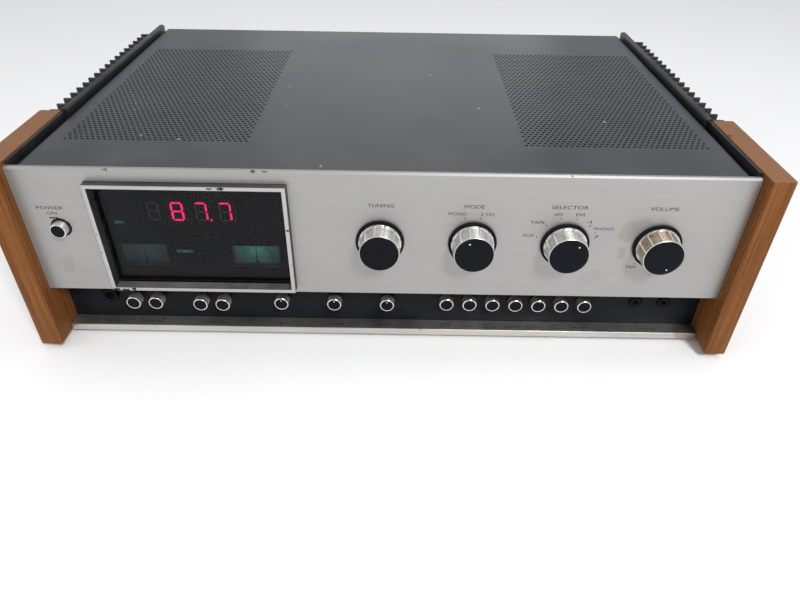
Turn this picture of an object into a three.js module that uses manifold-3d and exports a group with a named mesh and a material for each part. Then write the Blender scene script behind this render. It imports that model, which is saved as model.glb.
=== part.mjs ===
// Stereo receiver with a digital tuning display, wooden end cheeks and side heat sinks.
// Millimetres, +Z up, front towards -Y. The origin is at the bottom centre of the whole set.
import * as THREE from 'three';
import { mergeVertices } from 'three/addons/utils/BufferGeometryUtils.js';
import Module from 'manifold-3d';

const wasm = await Module();
wasm.setup();

// ---------------------------------------------------------------- driving dimensions
const GAP = 0.3;                 // clearance kept between neighbouring pieces

const PANEL_WIDTH = 475;         // front panel, between the cheeks
const PANEL_THICK = 3.4;
const PANEL_BOTTOM = 49.7;
const PANEL_TOP = 141.5;         // top of the flat front face, below the bevel
const COVER_TOP = 142.7;
const COVER_SHEET = 1.2;
const COVER_HALF = 232.4;        // half width over the cover's folded sides
const COVER_BEND = 4;            // radius of the folds
const COVER_BACK = 322;          // depth behind the panel's face
const COVER_LOW = 14;

const CHEEK_THICK = 15.7;
const CHEEK_FRONT = -10.1;       // the cheeks stand proud of the panel
const CHEEK_BACK = 88.3;
const CHEEK_LOW = 5;
const CHEEK_TOP = 145.8;
const CHEEK_CORNER = 2.2;         // rounding of the upright corners
const CHEEK_EDGE = 2.6;          // rounding of the long bottom edges

const SINK_IN = 232.8;           // inner face of the heat sinks' base plates
const SINK_OUT = 238.5;
const SINK_LOW = 20;
const RAIL_TOP = 146.8;          // the base plate ends in a raised, rounded rail
const FIN_OUT = 248.6;
const FIN_TOP = 144.2;
const FIN_COUNT = 18;
const FIN_PITCH = 11.9;
const FIN_THICK = 3.2;
const FIN_FIRST = 91;

const PLATE_FRONT = 20;          // front chassis plate, black, seen inside the recess
const PLATE_THICK = 1.5;
const PAN_SHEET = 1.5;
const PAN_LOW = 10.5;
const PAN_HALF = 230.4;
const REAR_FRONT = 316.5;        // rear panel's inner face
const REAR_THICK = 2;
const REAR_OUT = 13;             // reach of the rear connectors behind the cover

const WINDOW = { left: -189.4, right: -61.5, low: 52.5, top: 133.8, proud: 5.4, rim: 2.5 };
const GLASS_FRONT = 2;
const GLASS_THICK = 2.3;

const LEDGE = { front: 8.1, low: 4.6, top: 10 };

const KNOB_AXIS_Z = 92.9;
const KNOB_X = { tuning: -2.4, mode: 59.4, selector: 121.1, volume: 182.9 };
const KNOB_REACH = 16.4;         // from the panel's face to the knob's face
const KNOB_SKIRT = 16.2;         // skirt radius
const KNOB_BODY = 13.3;          // radius over the ribs
const KNOB_POCKETS = 12;
const KNOB_FLARE = 1.08;         // the ribbed body is wider at the skirt than at the face
const SHAFT = 3;
const SHAFT_HOLE = 5.2;          // holes in the panel and the plate round the knobs' shafts

const CONTROL_Z = 30.3;          // row of small controls in the recess
const CAP_RADIUS = 5.3;
const CAP_LENGTH = 7.7;
const STEM_RADIUS = 1.8;
const STEM_HOLE = 2.4;

const DRUM = 24;                 // belt drive from the tuning shaft to the capacitor
const PULLEY = 4.2;
const ROTOR = { x: 50, z: 92.9 };
const BELT_FRONT = 46;
const BELT_WIDTH = 3;

const FOOT_RADIUS = 11;
const PANEL_Y = -(COVER_BACK + REAR_OUT - KNOB_REACH) / 2;

// ---------------------------------------------------------------- materials
const paint = (color, roughness, metalness = 0) =>
  new THREE.MeshStandardMaterial({ color, roughness, metalness });

const finishes = {
  aluminium: paint(0xaeaca9, 0.38, 1),
  bezel: paint(0x8c8c90, 0.4, 0.8),
  glass: paint(0x1c1f24, 0.08),
  cover: paint(0x55565b, 0.5, 0.2),
  sink: paint(0x24262b, 0.5, 0.5),
  wood: paint(0x9a6238, 0.6),
  blackMetal: paint(0x17191d, 0.5),
  steel: paint(0x9c9a94, 0.45, 0.9),
  chrome: paint(0xc9c7c0, 0.22, 1),
  rubber: paint(0x141414, 0.9),
  plastic: paint(0x1b1b1d, 0.5),
  board: paint(0x6e5a2c, 0.6),
  capacitor: paint(0x2b3f66, 0.45),
  meter: paint(0x24403e, 0.5),
  needle: paint(0xd2482c, 0.5),
  belt: paint(0x2a2a28, 0.8),
};

// ---------------------------------------------------------------- geometry helpers
/** Merge shared vertices and drop the flat triangles left at poles and seams. */
function welded(geometry) {
  const bare = geometry.index ? geometry.toNonIndexed() : geometry.clone();
  bare.deleteAttribute('normal');
  bare.deleteAttribute('uv');
  const merged = mergeVertices(bare, 1e-4);
  const kept = [];
  for (let i = 0; i < merged.index.count; i += 3) {
    const [a, b, c] = [0, 1, 2].map((n) => merged.index.getX(i + n));
    if (a !== b && b !== c && c !== a) kept.push(a, b, c);
  }
  merged.setIndex(kept);
  return merged;
}

function toSolid(geometry) {
  const merged = welded(geometry);
  return new wasm.Manifold(new wasm.Mesh({
    numProp: 3,
    vertProperties: new Float32Array(merged.attributes.position.array),
    triVerts: new Uint32Array(merged.index.array),
  }));
}

function toGeometry(solid) {
  const mesh = solid.getMesh();
  const geometry = new THREE.BufferGeometry();
  geometry.setAttribute('position', new THREE.BufferAttribute(mesh.vertProperties, 3));
  geometry.setIndex(new THREE.BufferAttribute(mesh.triVerts, 1));
  return geometry;
}

/** Join a list of geometries into one solid geometry. */
const join = (...parts) => toGeometry(parts.map(toSolid).reduce((sum, next) => sum.add(next)));

/** Cut every tool out of a geometry. */
const cut = (base, ...tools) =>
  toGeometry(tools.map(toSolid).reduce((left, tool) => left.subtract(tool), toSolid(base)));

const overlap = (a, b) => toGeometry(toSolid(a).intersect(toSolid(b)));

/** A box from its low and high limits on each axis. */
function box(x0, x1, y0, y1, z0, z1) {
  return new THREE.BoxGeometry(x1 - x0, y1 - y0, z1 - z0)
    .translate((x0 + x1) / 2, (y0 + y1) / 2, (z0 + z1) / 2);
}

function outline(points) {
  return new THREE.Shape(points.map(([u, v]) => new THREE.Vector2(u, v)));
}

const extrude = (shape, depth, curveSegments = 4) =>
  new THREE.ExtrudeGeometry(shape, { depth, bevelEnabled: false, curveSegments });

/** Extrude an (x, y) outline from z0 up to z1. */
const prismZ = (shape, z0, z1) => extrude(shape, z1 - z0).translate(0, 0, z0);

/** Extrude an (x, z) outline between the depths y0 and y1. */
const prismY = (shape, y0, y1, segments) =>
  extrude(shape, y1 - y0, segments).rotateX(Math.PI / 2).translate(0, y1, 0);

/** Extrude a (y, z) outline between x0 and x1. */
function prismX(shape, x0, x1) {
  const turn = new THREE.Matrix4().makeBasis(
    new THREE.Vector3(0, 1, 0), new THREE.Vector3(0, 0, 1), new THREE.Vector3(1, 0, 0));
  return extrude(shape, x1 - x0).applyMatrix4(turn).translate(x0, 0, 0);
}

/** Revolve [radius, y] points, listed from low y to high y on the outside, about a depth axis. */
function turnedY(points, x, z, segments = 16) {
  const profile = points.map(([r, y]) => new THREE.Vector2(r, y));
  return new THREE.LatheGeometry(profile, segments).translate(x, 0, z);
}

/** Revolve [radius, z] points, listed from low z to high z on the outside, about a vertical axis. */
function turnedZ(points, x, y, segments = 16) {
  const profile = points.map(([r, z]) => new THREE.Vector2(r, z));
  return new THREE.LatheGeometry(profile, segments).rotateX(Math.PI / 2).translate(x, y, 0);
}

/** A plain round bar along the depth axis. */
const barY = (radius, y0, y1, x, z, segments = 12) =>
  turnedY([[0, y0], [radius, y0], [radius, y1], [0, y1]], x, z, segments);

const barZ = (radius, z0, z1, x, y, segments = 12) =>
  turnedZ([[0, z0], [radius, z0], [radius, z1], [0, z1]], x, y, segments);

/** A rectangle outline whose corners are rounded by the radii [low left, low right, top right, top left]. */
function roundedRect(x0, x1, y0, y1, radii) {
  const [ll, lr, tr, tl] = radii;
  const shape = new THREE.Shape();
  shape.moveTo(x0 + ll, y0);
  shape.lineTo(x1 - lr, y0);
  if (lr) shape.absarc(x1 - lr, y0 + lr, lr, -Math.PI / 2, 0, false);
  shape.lineTo(x1, y1 - tr);
  if (tr) shape.absarc(x1 - tr, y1 - tr, tr, 0, Math.PI / 2, false);
  shape.lineTo(x0 + tl, y1);
  if (tl) shape.absarc(x0 + tl, y1 - tl, tl, Math.PI / 2, Math.PI, false);
  shape.lineTo(x0, y0 + ll);
  if (ll) shape.absarc(x0 + ll, y0 + ll, ll, Math.PI, Math.PI * 1.5, false);
  return shape;
}

/** Mirror a right-hand piece to the left, keeping its faces outwards. */
function mirrored(geometry) {
  const flipped = (geometry.index ? geometry.toNonIndexed() : geometry.clone()).scale(-1, 1, 1);
  const p = flipped.attributes.position;
  for (let i = 0; i < p.count; i += 3) {
    const [bx, by, bz] = [p.getX(i + 1), p.getY(i + 1), p.getZ(i + 1)];
    p.setXYZ(i + 1, p.getX(i + 2), p.getY(i + 2), p.getZ(i + 2));
    p.setXYZ(i + 2, bx, by, bz);
  }
  return welded(flipped);
}

// ---------------------------------------------------------------- assembly
const receiver = new THREE.Group();
const chassisGroup = new THREE.Group();      // depths below are measured from the panel's face
chassisGroup.position.y = PANEL_Y;
receiver.add(chassisGroup);

function place(name, geometry, material) {
  const mesh = new THREE.Mesh(geometry, material);
  mesh.name = name;
  chassisGroup.add(mesh);
}

// ---------------------------------------------------------------- front panel and window
function frontPanel() {
  const bevel = COVER_TOP - PANEL_TOP;
  const section = outline([
    [0, PANEL_BOTTOM], [PANEL_THICK, PANEL_BOTTOM], [PANEL_THICK, COVER_TOP],
    [bevel, COVER_TOP], [0, PANEL_TOP],
  ]);
  const half = PANEL_WIDTH / 2 - GAP;
  const w = WINDOW;
  const opening = box(w.left - GAP, w.right + GAP, -1, PANEL_THICK + 1, w.low - GAP, w.top + GAP);
  const shaftHoles = Object.values(KNOB_X).map((x) => barY(SHAFT_HOLE, -1, PANEL_THICK + 1, x, KNOB_AXIS_Z));
  const buttonHole = barY(POWER.hole, -1, PANEL_THICK + 1, POWER.x, POWER.z);
  return cut(prismX(section, -half, half), opening, buttonHole, ...shaftHoles);
}

function windowFrame() {
  const w = WINDOW;
  const outer = box(w.left, w.right, -w.proud, GLASS_FRONT + GLASS_THICK + 1, w.low, w.top);
  const inner = box(w.left + w.rim, w.right - w.rim, -w.proud - 1, 20, w.low + w.rim, w.top - w.rim);
  return cut(outer, inner);
}

function windowGlass() {
  const inset = WINDOW.rim + GAP;
  return box(WINDOW.left + inset, WINDOW.right - inset, GLASS_FRONT, GLASS_FRONT + GLASS_THICK,
    WINDOW.low + inset, WINDOW.top - inset);
}

// Behind the glass: a black mask with openings for the digits and the two meters.
const MASK = { front: 8.4, back: 9.6 };
const DIGITS = { left: -163, right: -96.5, low: 98, top: 118.6, back: 18 };
const METERS = { signal: [-183.4, -150.4], tuning: [-105.7, -72.2], low: 64.9, top: 82.9, back: 34 };

function displayMask() {
  const w = WINDOW;
  const sheet = box(w.left + 1, w.right - 1, MASK.front, MASK.back, w.low + 1, w.top - 1);
  const hole = (x0, x1, z0, z1) => box(x0 - GAP, x1 + GAP, 0, 20, z0 - GAP, z1 + GAP);
  return cut(sheet, hole(DIGITS.left, DIGITS.right, DIGITS.low, DIGITS.top),
    hole(...METERS.signal, METERS.low, METERS.top), hole(...METERS.tuning, METERS.low, METERS.top));
}

const digitDisplay = () =>
  box(DIGITS.left, DIGITS.right, MASK.front, DIGITS.back, DIGITS.low, DIGITS.top);

const NEEDLE = { length: 13, width: 1, pivotDrop: 3.2, front: MASK.front + 1.2 };

/** An edgewise panel meter: an open-fronted case with its movement in the lower half. */
function meterCase([x0, x1]) {
  const shell = box(x0, x1, MASK.front, METERS.back, METERS.low, METERS.top);
  const wall = 1.2;
  const hollow = box(x0 + wall, x1 - wall, 0, MASK.front + 5, METERS.low + wall, METERS.top - wall);
  return cut(shell, hollow);
}

function meterNeedle([x0, x1]) {
  const x = (x0 + x1) / 2;
  const z = METERS.low + NEEDLE.pivotDrop;
  const y = NEEDLE.front;
  const pointer = box(x - NEEDLE.width / 2, x + NEEDLE.width / 2, y, y + 0.8, z, z + NEEDLE.length);
  return join(pointer, barY(1.5, y - 0.4, y + 3, x, z, 12));
}

// ---------------------------------------------------------------- case
function cheek() {
  const x0 = PANEL_WIDTH / 2;
  const x1 = x0 + CHEEK_THICK;
  const plan = roundedRect(x0, x1, CHEEK_FRONT, CHEEK_BACK, [0.8, CHEEK_CORNER, CHEEK_CORNER, 0.8]);
  const front = roundedRect(x0, x1, CHEEK_LOW, CHEEK_TOP, [CHEEK_EDGE, CHEEK_EDGE, 1, 0.8]);
  return overlap(prismZ(plan, CHEEK_LOW - 1, CHEEK_TOP + 1), prismY(front, CHEEK_FRONT - 1, CHEEK_BACK + 1));
}

function heatsink() {
  const railRadius = (SINK_OUT - SINK_IN) / 2;
  const start = CHEEK_BACK + GAP;
  const base = roundedRect(SINK_IN, SINK_OUT, start, COVER_BACK, [0, 0, railRadius, railRadius]);
  const section = roundedRect(SINK_IN, SINK_OUT, SINK_LOW, RAIL_TOP, [0, 0, 2, 2]);
  const rail = overlap(prismZ(base, SINK_LOW - 1, RAIL_TOP + 1), prismY(section, start - 1, COVER_BACK + 1));
  const fins = Array.from({ length: FIN_COUNT }, (_, i) => {
    const y = FIN_FIRST + i * FIN_PITCH;
    return box(SINK_OUT - 1, FIN_OUT, y, y + FIN_THICK, SINK_LOW, FIN_TOP);
  });
  const tongue = box(SINK_OUT - 3.3, PANEL_WIDTH / 2 - GAP, 4, start + 2, 52, CHEEK_TOP - 0.6);
  return join(rail, tongue, ...fins);
}

function topCover() {
  const inner = COVER_HALF - COVER_SHEET;
  const section = roundedRect(-COVER_HALF, COVER_HALF, COVER_LOW, COVER_TOP, [0, 0, COVER_BEND, COVER_BEND]);
  const hollow = roundedRect(-inner, inner, COVER_LOW - 1, COVER_TOP - COVER_SHEET,
    [0, 0, COVER_BEND - COVER_SHEET, COVER_BEND - COVER_SHEET]);
  const front = PANEL_THICK + GAP;
  const recess = box(-COVER_HALF - 1, COVER_HALF + 1, 0, PLATE_FRONT + 2, 0, PANEL_BOTTOM + 1);
  return cut(prismY(section, front, COVER_BACK), prismY(hollow, front - 1, COVER_BACK + 1), recess);
}

function chassisPan() {
  const floorTop = PAN_LOW + PAN_SHEET;
  const y0 = PLATE_FRONT + PLATE_THICK + GAP;
  const y1 = REAR_FRONT - GAP;
  const tray = box(-PAN_HALF, PAN_HALF, y0, y1, PAN_LOW, 120);
  const inside = box(-PAN_HALF + PAN_SHEET, PAN_HALF - PAN_SHEET, y0 - 1, y1 + 1, floorTop, 121);
  return cut(tray, inside);
}

/** Outline that fits inside the cover's folds, from a low edge up to the underside of its top. */
const insideCover = (low) => roundedRect(-PAN_HALF, PAN_HALF, low, COVER_TOP - COVER_SHEET - GAP,
  [0, 0, COVER_BEND, COVER_BEND]);

function rearPanel() {
  const sheet = prismY(insideCover(PAN_LOW), REAR_FRONT, REAR_FRONT + REAR_THICK);
  const slots = REAR_BLOCKS.map(({ x0, x1, z0, z1 }) =>
    box(x0 - GAP, x1 + GAP, REAR_FRONT - 1, REAR_FRONT + 5, z0 - GAP, z1 + GAP));
  return cut(sheet, ...slots, barY(GLAND.neck + GAP, REAR_FRONT - 1, REAR_FRONT + 5, GLAND.x, GLAND.z));
}

const foot = (x, y) =>
  turnedZ([[0, 0], [FOOT_RADIUS - 2, 0], [FOOT_RADIUS, PAN_LOW - GAP], [0, PAN_LOW - GAP]], x, y, 24);

// ---------------------------------------------------------------- front chassis plate and ledge
const POWER = { x: -213.3, z: 100, radius: 5.4, reach: 6.2, hole: 6.8 };

// Rows of small controls: place across the recess, and depth of the faces behind the panel's face.
const PRESSED_FACE = 12;
const RELEASED_FACE = 8.7;
const BUTTON_ROWS = [
  { names: ['speaker_a', 'speaker_b'], start: -185.4, pitch: 16.4, face: RELEASED_FACE },
  { names: ['tape_monitor_1', 'tape_monitor_2'], start: -135.7, pitch: 16.4, face: RELEASED_FACE - 1 },
  {
    names: ['tone_flat', 'loudness', 'fm_filter', 'blend', 'squelch', 'auto_mono', 'dimmer'],
    start: 46.4, pitch: 17.1, face: PRESSED_FACE,
  },
];
const PUSH_BUTTONS = BUTTON_ROWS.flatMap(({ names, start, pitch, face }) =>
  names.map((name, i) => ({ name: `${name}_button`, x: start + i * pitch, face })));
const TONE_KNOBS = ['bass_knob', 'treble_knob', 'balance_knob'].map((name, i) =>
  ({ name, x: -76.3 + i * 39.2, face: 10.2 }));
const SMALL_CONTROLS = [...PUSH_BUTTONS, ...TONE_KNOBS];
const PHONES_X = -206.4;
const DUB_JACKS_X = [188.8, 210.2];

function chassisPlate() {
  const back = PLATE_FRONT + PLATE_THICK;
  const lower = box(-PANEL_WIDTH / 2 + GAP, PANEL_WIDTH / 2 - GAP, PLATE_FRONT, back, CHEEK_LOW + 0.6, 50);
  const upper = prismY(insideCover(49), PLATE_FRONT, back);
  const through = (radius, x, z, segments = 12) => barY(radius, PLATE_FRONT - 1, back + 1, x, z, segments);
  const stems = SMALL_CONTROLS.map(({ x }) => through(STEM_HOLE, x, CONTROL_Z, 8));
  const bushes = Object.values(KNOB_X).map((x) => through(SHAFT_HOLE, x, KNOB_AXIS_Z));
  const jacks = [PHONES_X, ...DUB_JACKS_X].map((x) => through(5, x, CONTROL_Z));
  const meters = [METERS.signal, METERS.tuning].map(([x0, x1]) =>
    box(x0 - 1, x1 + 1, PLATE_FRONT - 1, back + 1, METERS.low - 1, METERS.top + 1));
  return cut(join(lower, upper), ...stems, ...bushes, ...jacks, ...meters, through(6, POWER.x, POWER.z));
}

function labelLedge() {
  const half = PANEL_WIDTH / 2 - GAP;
  const section = outline([
    [LEDGE.front, LEDGE.low], [PLATE_FRONT - GAP, LEDGE.low], [PLATE_FRONT - GAP, LEDGE.top],
    [LEDGE.front + 0.6, LEDGE.top], [LEDGE.front, LEDGE.top - 0.6],
  ]);
  return prismX(section, -half, half);
}

// ---------------------------------------------------------------- knobs and buttons
/** Outline of a knob body: ribs at full radius with a shallow pocket between each pair. */
function fluted(radius, depth, pockets) {
  const step = (2 * Math.PI) / pockets;
  const points = [];
  for (let i = 0; i < pockets; i += 1) {
    for (const [share, sunk] of [[-0.09, 0], [0.09, 0], [0.17, depth], [0.83, depth]]) {
      const angle = (i + share) * step;
      points.push([(radius - sunk) * Math.cos(angle), (radius - sunk) * Math.sin(angle)]);
    }
  }
  return outline(points);
}

/** Widen a piece about the depth axis, from its own size at y0 to the given scale at y1. */
function flared(geometry, y0, y1, scale) {
  const position = geometry.attributes.position;
  for (let i = 0; i < position.count; i += 1) {
    const grow = 1 + ((scale - 1) * (position.getY(i) - y0)) / (y1 - y0);
    position.setX(i, position.getX(i) * grow);
    position.setZ(i, position.getZ(i) * grow);
  }
  return geometry;
}

/** A large control knob: black skirt, fluted metal body, plain rim and its shaft. */
function largeKnob(x, shaftEnd) {
  const [front, back] = [-KNOB_REACH + 2.4, -2];
  const flutes = prismY(fluted(KNOB_BODY, 0.9, KNOB_POCKETS), front, back);
  const body = flared(flutes, front, back, KNOB_FLARE).translate(x, 0, KNOB_AXIS_Z);
  const turned = turnedY([
    [0, -KNOB_REACH], [KNOB_BODY - 0.9, -KNOB_REACH], [KNOB_BODY - 0.3, -KNOB_REACH + 0.6],
    [KNOB_BODY - 0.3, -KNOB_REACH + 2.4], [KNOB_BODY - 2, -KNOB_REACH + 2.5], [KNOB_BODY - 2, -2.4],
    [KNOB_SKIRT - 0.4, -2.4], [KNOB_SKIRT, -2], [KNOB_SKIRT, -0.4],
    [SHAFT, -0.4], [SHAFT, shaftEnd], [0, shaftEnd],
  ], x, KNOB_AXIS_Z, 30);
  return join(turned, body);
}

/** Flywheel and belt pulley on the tuning shaft, behind the front bearing. */
function tuningFlywheel() {
  const bore = SHAFT + 0.35;
  const y0 = 31;
  return turnedY([
    [bore, y0], [22, y0], [22, y0 + 10], [PULLEY + 2, y0 + 10], [PULLEY + 2, BELT_FRONT - 0.6],
    [PULLEY, BELT_FRONT - 0.4], [PULLEY, BELT_FRONT + BELT_WIDTH + 0.4],
    [PULLEY + 1.6, BELT_FRONT + BELT_WIDTH + 0.6], [PULLEY + 1.6, BELT_FRONT + BELT_WIDTH + 2],
    [bore, BELT_FRONT + BELT_WIDTH + 2], [bore, y0],
  ], KNOB_X.tuning, KNOB_AXIS_Z, 20);
}

/** A push button: round cap on a thin stem. */
function pushButton(x, face) {
  return turnedY([
    [0, face], [CAP_RADIUS - 0.4, face], [CAP_RADIUS, face + 0.4], [CAP_RADIUS, face + CAP_LENGTH],
    [STEM_RADIUS, face + CAP_LENGTH], [STEM_RADIUS, PLATE_FRONT + 9], [0, PLATE_FRONT + 9],
  ], x, CONTROL_Z, 12);
}

function toneKnob(x, face) {
  return turnedY([
    [0, face], [CAP_RADIUS - 0.4, face], [CAP_RADIUS, face + 0.4], [CAP_RADIUS, face + CAP_LENGTH],
    [2, face + CAP_LENGTH], [2, PLATE_FRONT + 9], [0, PLATE_FRONT + 9],
  ], x, CONTROL_Z, 12);
}

function powerButton() {
  const { x, z, radius, reach } = POWER;
  return turnedY([
    [0, -reach], [radius - 0.4, -reach], [radius, -reach + 0.4], [radius, 6], [2.5, 6], [2.5, 29], [0, 29],
  ], x, z, 16);
}

// ---------------------------------------------------------------- switches, controls and jacks
const BEHIND_PLATE = PLATE_FRONT + PLATE_THICK + GAP;

/** A rotary control: threaded bush through the plate, round can behind it. */
function rotaryControl(x, canRadius, canDepth) {
  const bore = SHAFT + 0.35;
  const y0 = BEHIND_PLATE;
  return turnedY([
    [bore, 6], [4.8, 6], [4.8, y0], [canRadius, y0], [canRadius, y0 + canDepth],
    [0, y0 + canDepth], [0, y0 + 8], [bore, y0 + 8], [bore, 6],
  ], x, KNOB_AXIS_Z, 12);
}

/** A wafer switch: the bush and indexing plate carry square wafers on two long studs. */
function waferSwitch(x, wafers) {
  const y0 = BEHIND_PLATE;
  const bush = rotaryControl(x, 9, 10);
  const plates = Array.from({ length: wafers }, (_, i) => {
    const y = y0 + 12 + i * 11;
    return box(x - 15, x + 15, y, y + 2, KNOB_AXIS_Z - 13, KNOB_AXIS_Z + 13);
  });
  const last = y0 + 14 + (wafers - 1) * 11;
  const studs = [-12, 12].map((dx) =>
    box(x + dx - 1.5, x + dx + 1.5, y0, last, KNOB_AXIS_Z - 1.5, KNOB_AXIS_Z + 1.5));
  const indexer = box(x - 15, x + 15, y0 + 0.2, y0 + 2.2, KNOB_AXIS_Z - 11, KNOB_AXIS_Z + 11);
  const clear = barY(SHAFT + 0.35, 0, y0 + 8, x, KNOB_AXIS_Z);
  const spindle = box(x - 4, x + 4, y0 + 9, last, KNOB_AXIS_Z - 4, KNOB_AXIS_Z + 4);
  return cut(join(bush, indexer, spindle, ...plates, ...studs), clear);
}

/** Board across the recess's back: switch housings and tone controls soldered to it. */
function controlBoard() {
  const y0 = BEHIND_PLATE;
  const board = box(-200, 165, y0, y0 + 31, 15.5, 17.1);
  const housings = SMALL_CONTROLS.map(({ x }) => {
    const house = box(x - 7, x + 7, y0, y0 + 24, 16.5, CONTROL_Z + 6);
    return cut(house, barY(2.4, y0 - 1, y0 + 12, x, CONTROL_Z, 8));
  });
  return join(board, ...housings);
}

const powerSwitch = () => cut(
  box(POWER.x - 9, POWER.x + 9, BEHIND_PLATE, BEHIND_PLATE + 34, POWER.z - 10, POWER.z + 10),
  barY(3, BEHIND_PLATE - 1, BEHIND_PLATE + 12, POWER.x, POWER.z));

/** A round panel jack: nut in front, bush through the plate, body behind, open bore. */
function panelJack(x, bore, nut, proud, bodyDepth) {
  const y0 = BEHIND_PLATE;
  const back = y0 + bodyDepth;
  return turnedY([
    [bore, PLATE_FRONT - proud], [nut - 0.5, PLATE_FRONT - proud], [nut, PLATE_FRONT - proud + 0.5],
    [nut, PLATE_FRONT - GAP], [4.6, PLATE_FRONT - GAP], [4.6, y0], [nut + 1.5, y0], [nut + 1.5, back],
    [0, back], [0, back - 2], [bore, back - 2], [bore, PLATE_FRONT - proud],
  ], x, CONTROL_Z, 16);
}

function dubJacks() {
  const [x0, x1] = DUB_JACKS_X;
  const link = box(x0 + 4.9, x1 - 4.9, BEHIND_PLATE + 2, BEHIND_PLATE + 16, CONTROL_Z - 4, CONTROL_Z + 4);
  return join(panelJack(x0, 1.8, 4.8, 1.5, 18), panelJack(x1, 1.8, 4.8, 1.5, 18), link);
}

// ---------------------------------------------------------------- inside
function powerTransformer() {
  const [x, y, z] = [-120, 215, PAN_LOW + PAN_SHEET + GAP];
  const core = box(x - 48, x + 48, y - 22, y + 22, z + 4, z + 84);
  const windings = box(x - 29, x + 29, y - 38, y + 38, z + 18, z + 70);
  const base = box(x - 52, x + 52, y - 30, y + 30, z, z + 5);
  return join(core, windings, base);
}

function filterCapacitor(x, y) {
  const z = PAN_LOW + PAN_SHEET + GAP;
  return turnedZ([[0, z], [21, z], [22, z + 1], [22, z + 84], [20.5, z + 86], [0, z + 86]], x, y, 24);
}

function mainBoard() {
  const z = 34;
  const board = box(50, 214, 128, 296, z, z + 1.6);
  const posts = [[58, 136], [206, 136], [58, 288], [206, 288]].map(([x, y]) =>
    barZ(3.5, PAN_LOW + PAN_SHEET + GAP, z + 1, x, y, 12));
  const cans = [0, 1, 2, 3].map((i) => barZ(8, z + 1, z + 26, 80 + i * 34, 150, 16));
  const relay = box(70, 98, 210, 232, z + 1, z + 22);
  const drivers = box(120, 190, 200, 206, z + 1, z + 30);
  return join(board, ...posts, ...cans, relay, drivers);
}

/** Frame of the tuning capacitor: two end plates and a base, open round the turning vanes. */
function tuningCapacitor() {
  const y0 = BELT_FRONT + BELT_WIDTH + 6;
  const { x, z } = ROTOR;
  const bore = (y) => barY(SHAFT + 0.35, y - 1, y + 4, x, z, 20);
  const end = (y) => cut(box(x - 22, x + 22, y, y + 2.4, 66, z + 22), bore(y));
  const base = box(x - 22, x + 22, y0, y0 + 50, 64, 68);
  const floor = PAN_LOW + PAN_SHEET + GAP;
  const legs = [-20, 16].map((dx) => box(x + dx, x + dx + 4, y0 + 4, y0 + 46, floor, 65));
  return join(end(y0), end(y0 + 47.6), base, ...legs);
}

/** Belt drum, shaft and half-round vanes that turn inside the frame. */
function capacitorRotor() {
  const y0 = BELT_FRONT + BELT_WIDTH + 6;
  const { x, z } = ROTOR;
  const drum = turnedY([
    [0, BELT_FRONT - 2], [DRUM + 1.2, BELT_FRONT - 2],
    [DRUM + 1.2, BELT_FRONT - 0.6], [DRUM, BELT_FRONT - 0.4],
    [DRUM, BELT_FRONT + BELT_WIDTH + 0.4], [DRUM + 1.2, BELT_FRONT + BELT_WIDTH + 0.6],
    [DRUM + 1.2, BELT_FRONT + BELT_WIDTH + 2], [0, BELT_FRONT + BELT_WIDTH + 2],
  ], x, z, 24);
  const half = new THREE.Shape().absarc(0, 0, 18, -Math.PI / 2, Math.PI / 2, false);
  const vanes = [6, 13, 20, 27, 34].map((dy) => prismY(half, y0 + dy, y0 + dy + 1.2, 4).translate(x, 0, z));
  return join(drum, barY(SHAFT, BELT_FRONT - 3, y0 + 51, x, z), ...vanes);
}

/** Outline round the pulley and the drum, a given distance outside both. */
function beltOutline(extra) {
  const a = { x: KNOB_X.tuning, r: PULLEY + extra };
  const b = { x: ROTOR.x, r: DRUM + extra };
  const lean = Math.asin((b.r - a.r) / (b.x - a.x));
  const shape = new THREE.Shape();
  shape.absarc(a.x, KNOB_AXIS_Z, a.r, Math.PI / 2 + lean, Math.PI * 1.5 - lean, false);
  shape.absarc(b.x, ROTOR.z, b.r, -Math.PI / 2 - lean, Math.PI / 2 + lean, false);
  return shape;
}

function tuningBelt() {
  const ring = (extra, y0, y1) => prismY(beltOutline(extra), y0, y1, 8);
  return cut(ring(GAP + 0.8, BELT_FRONT, BELT_FRONT + BELT_WIDTH), ring(GAP, BELT_FRONT - 1, BELT_FRONT + 9));
}

// ---------------------------------------------------------------- rear connectors
const GLAND = { x: -205, z: 40, neck: 6 };
const REAR_BLOCKS = [
  { x0: -165, x1: -75, z0: 30, z1: 70 },     // speaker terminals
  { x0: 60, x1: 205, z0: 30, z1: 70 },       // input and output jacks
  { x0: 120, x1: 200, z0: 95, z1: 117 },     // aerial terminals
];
const REAR_FACE = REAR_FRONT + REAR_THICK;

/** Body of a connector block: passes the rear panel and carries a thin flange outside. */
function rearBlock({ x0, x1, z0, z1 }, depthIn) {
  const body = box(x0, x1, REAR_FACE - depthIn, REAR_FACE + GAP + 1, z0, z1);
  const flange = box(x0 - 4, x1 + 4, REAR_FACE + GAP, REAR_FACE + GAP + 2, z0 - 4, z1 + 4);
  return join(body, flange);
}

function speakerTerminals() {
  const block = rearBlock(REAR_BLOCKS[0], 14);
  const levers = [0, 1, 2, 3].flatMap((i) => [0, 1].map((row) => {
    const x = -154 + i * 20;
    const z = 36 + row * 18;
    return box(x, x + 8, REAR_FACE, REAR_FACE + 12, z, z + 9);
  }));
  return join(block, ...levers);
}

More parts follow.
